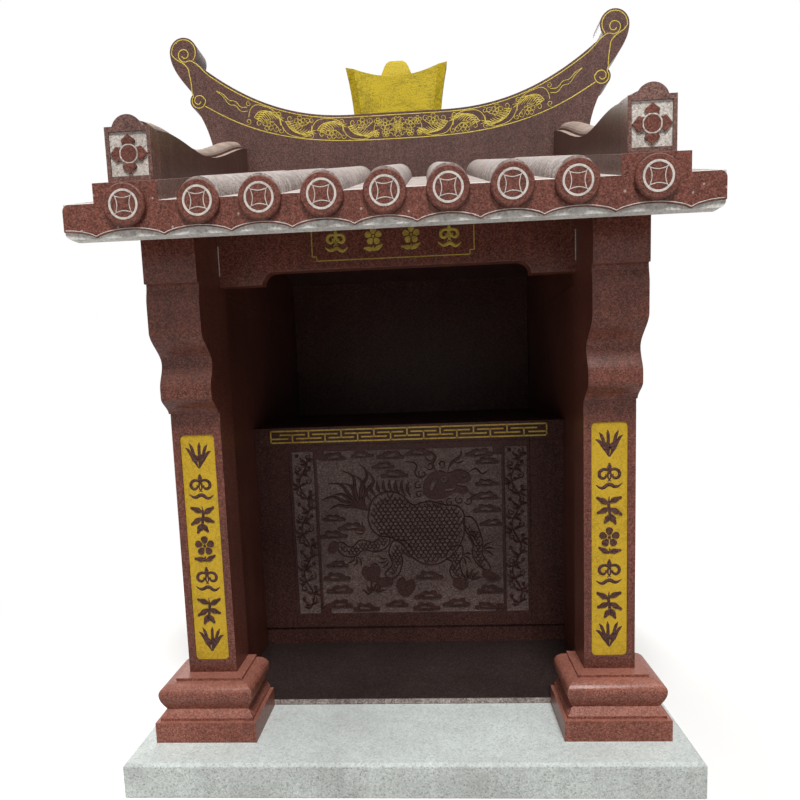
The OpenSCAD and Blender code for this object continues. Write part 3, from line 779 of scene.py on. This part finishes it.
    def build(self, side: Side, finish: bpy.types.Material) -> None:
        """Makes the gold work on one face.

        Args:
            side: the front or the back face.
            finish: the gold paint.
        """
        face = Face(0, side.value * self.face_y, self.slab_h, side)
        border = Carving(f"{side.name.lower()}_ridge_border", face, 1.0)
        scroll = Carving(f"{side.name.lower()}_ridge_scroll", face, 0.9)
        middle = self.band(0, 0)
        for r, petals in ((42, 8), (24, 6), (12, 5)):
            self.blossom(scroll, middle, r, petals)
        for s in (-1, 1):
            self.border(border, s)
            for dx, dy, r in ((54, 12, 24), (52, -24, 17), (84, 22, 18), (92, -26, 13)):
                self.blossom(scroll, (s * dx, middle[1] + dy), r, 5)
            for i in range(4):
                self.scroll_leaf(scroll, 104 + 134 * i, s, -1 if i % 2 else 1, 128)
            for t in (-0.06, 0.08):
                ribbon = [(640, 0.1 + t), (668, 0.0 + t), (692, 0.1 + t), (716, 0.04 + t), (745, 0.16 + t / 2),
                          (772, 0.17)]
                scroll.line([(s * u, v) for u, v in (self.band(*p) for p in ribbon)], 3.0)
        border.build(finish, Slot.GOLD)
        scroll.build(finish, Slot.GOLD)


class Motif(Enum):
    """Small traditional ornaments for the strips and the name board."""

    BAMBOO = "bamboo"
    CLOUD = "cloud"
    PLUM = "plum"
    ORCHID = "orchid"


def motif(art: Carving, kind: Motif, at: Point, size: float, flip: bool = False) -> None:
    """Draws one ornament with brush-like shapes.

    Args:
        art: the carving.
        kind: which ornament.
        at: its middle.
        size: its height.
        flip: whether it is mirrored.
    """
    k = size / 100
    m = -1 if flip else 1

    def put(points: Sequence[Point]) -> list[Point]:
        """Moves a drawing on a square of 100 to its place."""
        return [(at[0] + m * k * u, at[1] + k * v) for u, v in points]

    if kind is Motif.BAMBOO:
        art.line(put([(-6, -48), (-2, -16), (2, 14), (0, 46)]), 13 * k, True)
        for angle, length, base in ((24, 46, (2, 18)), (-28, 44, (0, 4)), (152, 44, (0, 22)), (205, 46, (-2, 2)),
                                    (-62, 36, (-3, -18)), (238, 38, (-4, -18))):
            art.shape(put(turned(leaf(length, 19, 4), angle, base)))
    elif kind is Motif.CLOUD:
        art.line(put(spiral(26, 5, -70, 470, (-18, 6), 18)), 13 * k, True)
        art.line(put([(-u, v) for u, v in spiral(26, 5, -70, 470, (-18, 6), 18)]), 13 * k, True)
        art.line(put([(-44, -22), (-22, -34), (2, -26), (24, -38), (46, -26)]), 16 * k, True)
        art.shape(put(turned(leaf(24, 14), 90, (0, 22))))
    elif kind is Motif.PLUM:
        for i in range(5):
            art.shape(put(turned([(8, 0), (16, 9), (28, 11), (34, 0), (28, -11), (16, -9)], 90 + 72 * i, (0, 12))))
        art.shape(put(ring(5, 8, (0, 12))))
        art.line(put([(4, -46), (-3, -34), (1, -24)]), 12 * k, True)
        for angle in (20, 160):
            art.shape(put(turned(leaf(40, 18, 6), angle, (0, -40))))
    else:
        for tip, bend in (((-44, 30), -14), ((-30, 46), -6), ((6, 48), 4), ((34, 40), 8), ((46, 16), 18)):
            art.line(put([(0, -46), (tip[0] * 0.34 + bend * 0.3, -8), (tip[0] * 0.75, tip[1] * 0.68), tip]), 14 * k,
                     True)
        for angle in (60, 120, 0, 180):
            art.shape(put(turned(leaf(22, 11), angle, (0, -14))))


@dataclass
class ColumnStrips:
    """The gold strips sunk in the column fronts, with a row of ornaments left proud in the stone."""

    x: float = 672.0
    floor_y: float = -781.0
    z: float = 741.0
    width: float = 114.4
    length: float = 777.4
    corner: float = 13.7
    count: int = 7
    pitch: float = 106.0
    size: float = 98.0

    def outline(self) -> list[Point]:
        """Gives the rounded strip."""
        w, h, r = self.width / 2, self.length / 2, self.corner
        points: list[Point] = []
        for cx, cy, a in ((w - r, h - r, 0), (r - w, h - r, 90), (r - w, r - h, 180), (w - r, r - h, 270)):
            points += [(cx + r * math.cos(math.radians(a + d)), cy + r * math.sin(math.radians(a + d))) for d in (0,
                    30, 60, 90)]
        return points

    def build(self, paint: bpy.types.Material, stone: bpy.types.Material) -> None:
        """Makes both strips.

        Args:
            paint: the paint on the sunk floor.
            stone: the finish of the ornaments.
        """
        row = [Motif.ORCHID, Motif.CLOUD, Motif.BAMBOO, Motif.PLUM, Motif.CLOUD, Motif.BAMBOO, Motif.ORCHID]
        for s, name in ((-1, "left"), (1, "right")):
            face = Face(s * self.x, self.floor_y, self.z)
            ground = Carving(f"{name}_strip_ground", face, 0.8)
            ground.shape(self.outline(), smooth=False)
            ground.build(paint, Slot.RED)
            art = Carving(f"{name}_strip_ornaments", face, 3.0)
            for i in range(self.count):
                motif(art, row[i], (0, ((self.count - 1) / 2 - i) * self.pitch), self.size, s > 0)
            art.build(stone, Slot.RED)


@dataclass
class NameBoard:
    """The outlined board on the lintel, with four ornaments in gold lines."""

    face_y: float = -704.0
    x: float = -5.0
    z: float = 1749.0
    half_w: float = 266.0
    half_h: float = 63.0
    notch: float = 14.0
    joint_x: float = 586.0

    def build(self, paint: bpy.types.Material, mortar: bpy.types.Material) -> None:
        """Makes the board's lines and the mortar lines at the lintel's ends.

        Args:
            paint: the gold paint.
            mortar: the white in the joints.
        """
        art = Carving("name_board_lines", Face(self.x, self.face_y, self.z), 0.9)
        w, h, n = self.half_w, self.half_h, self.notch
        corners = [(w - n, h), (w - n, h - n), (w, h - n), (w, n - h), (w - n, n - h), (w - n, -h)]
        loop = corners + [(-u, v) for u, v in reversed(corners)]
        for a, b in zip(loop, loop[1:] + loop[:1]):
            art.bar(a, b, 3.2)
        for i, kind in enumerate((Motif.CLOUD, Motif.PLUM, Motif.PLUM, Motif.CLOUD)):
            motif(art, kind, ((i - 1.5) * 124, -2), 84)
        art.build(paint, Slot.GOLD)
        joints = Carving("lintel_joint_lines", Face(0, self.face_y, self.z), 0.8)
        for u in (-self.joint_x, self.joint_x):
            joints.bar((u, -96), (u, -2), 3.0)
        joints.build(mortar, Slot.RED)


@dataclass
class AltarFront:
    """The altar's carved front: a gold key fret, a walking qilin among clouds, and two flower vines."""

    fret_y: float = -206.0
    fret_z: float = 1061.0
    fret_half: float = 582.0
    fret_h: float = 24.5
    fret_units: int = 8
    floor_y: float = -183.0
    panel_z: float = 632.5
    panel_half: Point = (395.0, 359.5)
    side_x: float = 454.75
    side_half: Point = (47.0, 359.5)
    proud: float = 6.4

    def fret(self, paint: bpy.types.Material) -> None:
        """Makes the key fret on the table's edge: hooks from both rails that lock into each other.

        Args:
            paint: the gold paint.
        """
        art = Carving("altar_key_fret", Face(0, self.fret_y, self.fret_z), 0.9)
        w, h, cut = self.fret_half, self.fret_h, 6.0
        for v in (-h, h):
            art.bar((-w, v), (w, v), cut)
        for u in (-w, w):
            art.bar((u, -h), (u, h), cut)
        unit = 2 * w / (self.fret_units + 0.34)
        for i in range(2 * self.fret_units - 1):
            u = -w + unit * (0.67 + i / 2)
            rail = h if i % 2 else -h
            art.bar((u, rail), (u, -rail / 3), cut)
            art.bar((u - 0.37 * unit, -rail / 3), (u + 0.37 * unit, -rail / 3), cut)
        for s in (-1, 1):
            art.bar((s * w, -h / 3), (s * (w - 0.52 * unit), -h / 3), cut)
        art.build(paint, Slot.GOLD)

    def cloud(self, art: Carving, at: Point, width: float, flip: bool = False) -> None:
        """Draws a drifting cloud: lobes over a flat tail, with a slit inside.

        Args:
            art: the carving.
            at: its middle.
            width: its width.
            flip: whether its head is on the left.
        """
        rim = [(-50, -7), (-30, -12), (0, -13), (30, -13), (50, -9), (46, 0), (34, 2), (32, 11), (18, 16), (6, 11),
               (-6, 15), (-20, 10), (-30, 3)]
        slit = [(-16, -4), (8, -6), (24, -4), (20, 4), (8, 6), (-4, 3)]
        k = width / 100
        m = -1 if flip else 1
        art.shape(*([(at[0] + m * k * u, at[1] + k * v) for u, v in loop] for loop in (rim, slit)))

    def inside(self, at: Point, loop: Sequence[Point]) -> bool:
        """Tells whether a place lies inside a closed outline."""
        odd = False
        for (u0, v0), (u1, v1) in zip(loop, list(loop[1:]) + [loop[0]]):
            if (v0 > at[1]) != (v1 > at[1]) and at[0] < u0 + (at[1] - v0) * (u1 - u0) / (v1 - v0):
                odd = not odd
        return odd

    def scales(self, art: Carving, loop: Sequence[Point], step: float, width: float, edge: float = 0.0) -> None:
        """Draws rows of scales inside an outline.

        Args:
            art: the carving.
            loop: the outline.
            step: the width of a scale.
            width: the line's width.
            edge: the bare border inside the outline.
        """
        for row in range(-20, 20):
            for col in range(-24, 24):
                u, v = (col + row % 2 / 2) * step, row * 0.76 * step
                if all(self.inside((u + du, v + dv), loop) for du, dv in ((0, 0), (edge, 0), (-edge, 0), (0, edge),
                        (0, -edge))):
                    art.line([(u + 0.48 * step * a, v + 0.38 * step * b) for a,
                              b in ((-1, 0.9), (-0.8, -0.4), (0, -1), (0.8, -0.4), (1, 0.9))], width)

    def beast(self, art: Carving) -> None:
        """Draws the qilin: scaled body, legs with hooves, mane curls, horned head and flame tail.

        Args:
            art: the carving.
        """
        body = [(-178, 90), (-154, 148), (-98, 176), (-32, 160), (14, 116), (50, 124), (92, 128), (150, 112),
                (214, 100), (234, 30),
                (214, -58), (158, -124), (82, -150), (8, -118), (-40, -56), (-84, -26), (-140, -14), (-176, 30)]
        art.line(body, 7, closed=True)
        self.scales(art, [(20 + (u - 20) * 0.94, 20 + (v - 20) * 0.93) for u, v in body], 21, 5)
        for leg, hoof in (
                ([(-112, -8), (-160, -44), (-220, -34), (-262, -66), (-312, -42), (-316, -82), (-252, -108),
                  (-206, -78), (-150, -88), (-92, -42)],
                 [(-322, -40), (-352, -46), (-360, -84), (-326, -82)]),
                ([(-58, -34), (-98, -90), (-84, -144), (-116, -192), (-80, -206), (-40, -138), (-38, -96),
                  (2, -112)],
                 [(-120, -202), (-160, -226), (-98, -236), (-84, -216)]),
                ([(150, -120), (176, -140), (164, -178), (182, -212), (214, -206), (208, -148), (224, -100),
                  (214, -66)],
                 [(182, -222), (178, -244), (244, -244), (216, -216)]),
                ([(236, 0), (268, -50), (264, -112), (302, -166), (336, -178), (308, -112), (306, -36), (238, 60)],
                 [(308, -176), (318, -216), (378, -214), (342, -186)])):
            art.line(leg, 6, closed=True)
            self.scales(art, leg, 17, 4, 9)
            art.shape(hoof)
        head = [(74, 150), (60, 196), (84, 240), (126, 262), (170, 252), (206, 264), (248, 252), (264, 222),
                (236, 206), (206, 204), (250, 184),
                (242, 160), (196, 166), (160, 146), (116, 140)]
        art.shape(head, ring(13, 10, (150, 222)), ring(7, 8, (236, 238)),
                  [(92, 176), (96, 206), (112, 224), (108, 192)], [(150, 176), (172, 184), (196, 182), (172, 172)])
        art.shape(ring(6, 8, (150, 222)))
        for points, width in (
                ([(118, 262), (102, 296), (116, 320), (98, 346)], 13), ([(108, 304), (84, 308), (70, 326)], 9),
                ([(166, 256), (186, 296), (220, 320), (228, 346)], 13),
                ([(188, 298), (214, 294), (236, 302)], 9), ([(252, 248), (288, 266), (312, 244), (346, 262)], 8),
                ([(58, 226), (28, 250), (34, 290), (-14, 306)], 8),
                ([(250, 170), (282, 150), (304, 160)], 8)):
            art.line(points, width, True)
        for i, (u, v) in enumerate(((44, 160), (40, 200), (60, 250), (92, 284), (140, 290), (84, 118), (128, 112),
                                    (172, 122), (214, 132), (252, 128))):
            art.line(spiral(19, 4, 60 * i, 400, (u, v), 12), 6, True)
        for i in range(8):
            t = i / 7
            art.line([(6 - 172 * t, 126 + 40 * math.sin(math.pi * (0.2 + 0.7 * t))),
                      (-8 - 180 * t, 162 + 40 * math.sin(math.pi * (0.2 + 0.7 * t))),
                      (-2 - 188 * t, 200 + 30 * math.sin(math.pi * (0.2 + 0.7 * t)))], 16, True)
        for i in range(9):
            angle = 84 + 11 * i
            far = 212 if i % 2 else 172
            art.line([turned([(r * far, 0)], 128 + (angle - 128) * k + w, (-178, 92))[0] for r, k, w in
                      ((0.03, 0, 0), (0.3, 0.5, 8), (0.56, 0.85, 0), (0.78, 1.0, -5), (1, 1, 4))], 15, True)
        for at, angle in (((236, -20), -20), ((-190, 0), 150), ((214, -110), -30), ((-96, -120), 200),
                          ((306, -90), 10), ((-240, -100), 260)):
            for d in (-34, 0, 34):
                art.line(turned([(8, 0), (28, 6), (54, -4)], angle + d, at), 9, True)

    def sky(self, art: Carving) -> None:
        """Draws the clouds round the beast, the jewel, and the rocks and leaves under it.

        Args:
            art: the carving.
        """
        left = [(-330, 66), (-258, 26), (-334, -8), (-326, -140), (-330, -196), (-320, -252)]
        right = [(332 - 14 * (i % 2), 204 - 56 * i) for i in range(3)] + [(346, 30), (340, -262)]
        top = [(-326, 334), (-196, 340), (-76, 334), (48, 344), (-110, 290), (-60, 252), (300, 334), (336, 298)]
        low = [(-326, -318), (-206, -336), (-70, -320), (60, -336), (190, -320), (320, -336), (66, -284),
               (76, -196)]
        for i, at in enumerate(left + right + top + low):
            self.cloud(art, at, 120 if i % 3 else 100, i % 2 == 0)
        heart = [(0, -44), (34, -16), (40, 16), (20, 36), (0, 22), (-20, 36), (-40, 16), (-34, -16)]
        for at, angle in (((-176, -178), 20), ((-30, -244), -14)):
            art.shape(turned(heart, angle, at))
        for u, v in ((-168, -276), (250, -226)):
            for angle in range(20, 180, 28):
                art.line(turned([(10, 0), (30, 4), (58, -4)], angle, (u, v)), 13, True)

    def vine(self, art: Carving) -> None:
        """Draws a flower vine that climbs a narrow panel.

        Args:
            art: the carving.
        """
        w, h = self.side_half
        art.line([(0.42 * w * math.sin(i * 0.9), -h + 24 + i * 29) for i in range(24)], 7)
        for i in range(13):
            v = -h + 36 + i * 53
            s = 1 if i % 2 else -1
            base = 0.42 * w * math.sin((v + h - 24) / 29 * 0.9)
            for angle, length in ((90 - s * 60, 40), (90 + s * 64, 36), (90 - s * 108, 34)):
                art.line(turned([(2, 0), (0.5 * length, 4), (length, -3)], angle, (base, v)), 15, True)
            art.line(spiral(15, 3, 90, s * 420, (-s * 0.42 * w, v + 26), 12), 6, True)
            art.line(ring(5, 6, (s * 0.55 * w, v + 30)), 7, closed=True)

    def build(self, paint: bpy.types.Material, stone: bpy.types.Material) -> None:
        """Makes the whole front.

        Args:
            paint: the gold paint of the fret.
            stone: the polished stone of the relief.
        """
        self.fret(paint)
        art = Carving("altar_qilin_relief", Face(0, self.floor_y, self.panel_z), self.proud)
        self.beast(art)
        art.build(stone, Slot.RED)
        art = Carving("altar_cloud_relief", Face(0, self.floor_y, self.panel_z), self.proud)
        self.sky(art)
        art.build(stone, Slot.RED)
        for s, name in ((-1, "left"), (1, "right")):
            art = Carving(f"altar_{name}_vine_relief", Face(s * self.side_x, self.floor_y, self.panel_z),
                          self.proud)
            self.vine(art)
            art.build(stone, Slot.RED)


@dataclass
class Stones:
    """The solids of the frame: which finish each takes, and the small bevel along its edges."""

    edge_mm: float = 2.5
    # The altar, back wall and floor plate take stone darkened as painted shade; the column bases take stone
    # brightened as painted sunlight.
    groups: tuple[tuple[str, str], ...] = (
        ("base_slab", "grey"), ("floor_plate", "floor"), ("eave_board", "skim"), ("roof_slab", "deck"),
        ("tile_rolls", "sawn"), ("ingot", "gold"),
        ("altar_panel", "altar"), ("altar", "shaded_honed"), ("back_wall", "shaded_honed"), ("main_ridge", "ridge"),
        ("end_block", "flower"), ("verge_ridge", "crust"), ("column_base", "worn"), ("apron", "splash"),
        ("eave_discs", "splash"), ("verge_course", "scuff"))

    def finish_for(self, name: str, finishes: dict[str, bpy.types.Material]) -> bpy.types.Material:
        """Picks the material of a node by the first group whose word is in its name.

        Args:
            name: the node's name.
            finishes: the materials by key.

        Returns:
            The material.
        """
        return finishes[next((key for word, key in self.groups if word in name), "red")]

    def build(self, nodes: dict[str, bpy.types.Object], finishes: dict[str, bpy.types.Material]) -> None:
        """Dresses every node.

        Args:
            nodes: the frame's objects by name.
            finishes: the materials by key.
        """
        for name, stone in nodes.items():
            made = self.finish_for(name, finishes)
            for slot in stone.material_slots:
                slot.material = made
            weld = stone.modifiers.new("weld", "WELD")
            weld.merge_threshold = 0.05 * MM
            bevel = stone.modifiers.new("edge", "BEVEL")
            bevel.width = self.edge_mm * MM
            bevel.segments = 2
            bevel.limit_method = "ANGLE"
            bevel.angle_limit = math.radians(40)
            bevel.harden_normals = False
            LOG.info("%s: %s", name, made.name)


@dataclass
class Studio:
    """A pale floor, a white surround, large soft lamps from the upper front and from behind, and the camera."""

    eye: tuple[float, float, float] = (0.1076, -2.7237, 1.2886)
    yaw: float = -0.055
    pitch: float = -0.107
    roll: float = -0.036
    lens: float = 27.0
    shift_y: float = 0.0547
    floor_r: float = 14.0
    fill_low: float = 0.05
    fill_high: float = 0.6
    lamps: tuple[tuple[str, tuple[float, float, float], float, float], ...] = (
        ("key_lamp", (0.64, -6.02, 10.18), 3.04, 1130.0), ("back_lamp", (-1.5, 5.5, 4.0), 3.0, 260.0))
    aim: tuple[float, float, float] = (0.0, -0.9, 0.9)

    def floor(self) -> None:
        """Makes the floor, which fades to white away from the shrine."""
        shell = bmesh.new()
        bmesh.ops.create_circle(shell, cap_ends=True, segments=96, radius=self.floor_r,
                                matrix=Matrix.Translation((0, 0, -0.0005)))
        mesh = bpy.data.meshes.new("floor")
        shell.to_mesh(mesh)
        shell.free()
        made = bpy.data.materials.new("pale_floor")
        made.use_nodes = True
        tree = made.node_tree
        shader = tree.nodes["Principled BSDF"]
        shader.inputs["Roughness"].default_value = 0.9
        place = add(tree, "ShaderNodeTexCoord").outputs["Object"]
        far = add(tree, "ShaderNodeVectorMath", {0: place}, operation="LENGTH").outputs["Value"]
        fade = add(tree, "ShaderNodeMapRange", {0: far, 1: 1.3, 2: 2.6}, interpolation_type="SMOOTHSTEP").outputs[0]
        path = add(tree, "ShaderNodeLightPath").outputs
        tone = add(tree, "ShaderNodeMix", {0: path["Is Camera Ray"], 6: linear("#cfcfcd"), 7: linear("#f4f4f2")},
                   data_type="RGBA")
        tree.links.new(tone.outputs[2], shader.inputs["Base Color"])
        seen = add(tree, "ShaderNodeMath", {0: fade, 1: path["Is Camera Ray"]}, operation="MULTIPLY").outputs[0]
        white = add(tree, "ShaderNodeEmission", {"Strength": 1.0}).outputs[0]
        mixed = add(tree, "ShaderNodeMixShader", {0: seen, 1: shader.outputs[0], 2: white}).outputs[0]
        tree.links.new(mixed, tree.nodes["Material Output"].inputs[0])
        mesh.materials.append(made)
        floor = bpy.data.objects.new("floor", mesh)
        bpy.context.scene.collection.objects.link(floor)

    def light(self) -> None:
        """Makes the surround and the lamps."""
        world = bpy.data.worlds.new("white_surround")
        bpy.context.scene.world = world
        world.use_nodes = True
        tree = world.node_tree
        path = add(tree, "ShaderNodeLightPath").outputs
        seen = path["Is Camera Ray"]
        for key in ("Is Glossy Ray", "Is Transmission Ray"):
            seen = add(tree, "ShaderNodeMath", {0: seen, 1: path[key]}, operation="MAXIMUM").outputs[0]
        way = add(tree, "ShaderNodeTexCoord").outputs["Generated"]
        high = add(tree, "ShaderNodeSeparateXYZ", {0: way}).outputs[2]
        fill = add(tree, "ShaderNodeMapRange", {0: high, 1: 0.0, 2: 1.0, 3: self.fill_low,
                                                4: self.fill_high}).outputs[0]
        level = add(tree, "ShaderNodeMix", {0: seen, 2: fill, 3: 1.0}).outputs[0]
        back = tree.nodes["Background"]
        back.inputs["Color"].default_value = (1, 1, 1, 1)
        tree.links.new(level, back.inputs["Strength"])
        for name, place, size, power in self.lamps:
            lamp = bpy.data.lights.new(name, "AREA")
            lamp.shape = "DISK"
            lamp.size = size
            lamp.energy = power
            holder = bpy.data.objects.new(name, lamp)
            holder.location = place
            holder.rotation_euler = (Vector(self.aim) - Vector(place)).to_track_quat("-Z", "Y").to_euler()
            bpy.context.scene.collection.objects.link(holder)

    def camera(self) -> None:
        """Makes the camera at the photograph's place."""
        forward = Vector((math.sin(self.yaw) * math.cos(self.pitch), math.cos(self.yaw) * math.cos(self.pitch),
                          math.sin(self.pitch)))
        right = Vector((math.cos(self.yaw), -math.sin(self.yaw), 0))
        up = right.cross(forward)
        c, s = math.cos(self.roll), math.sin(self.roll)
        axes = (right * c + up * s, up * c - right * s, -forward)
        lens = bpy.data.cameras.new("camera")
        lens.sensor_width = 36.0
        lens.lens = self.lens
        lens.shift_y = self.shift_y
        lens.clip_end = 100.0
        eye = bpy.data.objects.new("camera", lens)
        eye.matrix_world = Matrix.Translation(self.eye) @ Matrix(axes).transposed().to_4x4()
        bpy.context.scene.collection.objects.link(eye)
        bpy.context.scene.camera = eye

    def build(self) -> None:
        """Sets the stage."""
        self.floor()
        self.light()
        self.camera()
        bpy.context.scene.view_settings.view_transform = "Standard"


def main() -> None:
    """Dresses the frame, adds the carved and painted work, and sets the stage."""
    logging.basicConfig(level=logging.INFO, format="%(name)s %(message)s")
    flowers = SunkPanel((0.7195, 0.97, 1.9447), (0.0544, 0.0318, 0.0599))
    altar = SunkPanel((0.0, 0.0, 0.6325), (0.6, 0.187, 0.4))
    edge = SunkPanel((0.0, 0.66, 0.123), (0.7, 0.0052, 0.02))
    # Under the roof the stone takes darker copies as painted shade; the column bases take a brighter copy as
    # painted sunlight.
    finishes = {
        "red": POLISHED, "shaded_honed": SHADED_HONED, "crust": CRUSTED, "ridge": GREYED, "sawn": SAWN, "skim": SKIMMED,
        "grey": FLAMED, "gold": INGOT_PAINT,
        "splash": SPLASHED, "scuff": SCUFFED,
        "flower": replace(SCUFFED, name="flower_block_granite", panel=flowers, ground=SANDBLASTED),
        "altar": replace(SHADED_HONED, name="altar_panel_granite", panel=altar, ground=SHADED_BLASTED),
        "floor": replace(SHADED_FLOOR, panel=edge, ground=SAWN), "worn": SUNLIT_WORN, "deck": SHADED_DECK}
    made = {key: finish.build() for key, finish in finishes.items()}
    line, white, blasted = LINE_PAINT.build(), WHITE_PAINT.build(), SANDBLASTED.build()
    Stones().build(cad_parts, made)
    for side in Side:
        Coins().build(side, white)
        BlockFlowers().build(side, made["red"], blasted)
        DripLine().build(side, white)
        RidgeGold().build(side, line)
    # The column ornaments and the altar's relief take the honed stone, darkened as painted shade.
    ColumnStrips().build(PANEL_PAINT.build(), made["shaded_honed"])
    # The name board's gold is darker as painted shade.
    NameBoard().build(SHADED_BOARD_PAINT.build(), white)
    AltarFront().build(FRET_PAINT.build(), made["shaded_honed"])
    Studio().build()


if __name__ == "__main__":
    main()
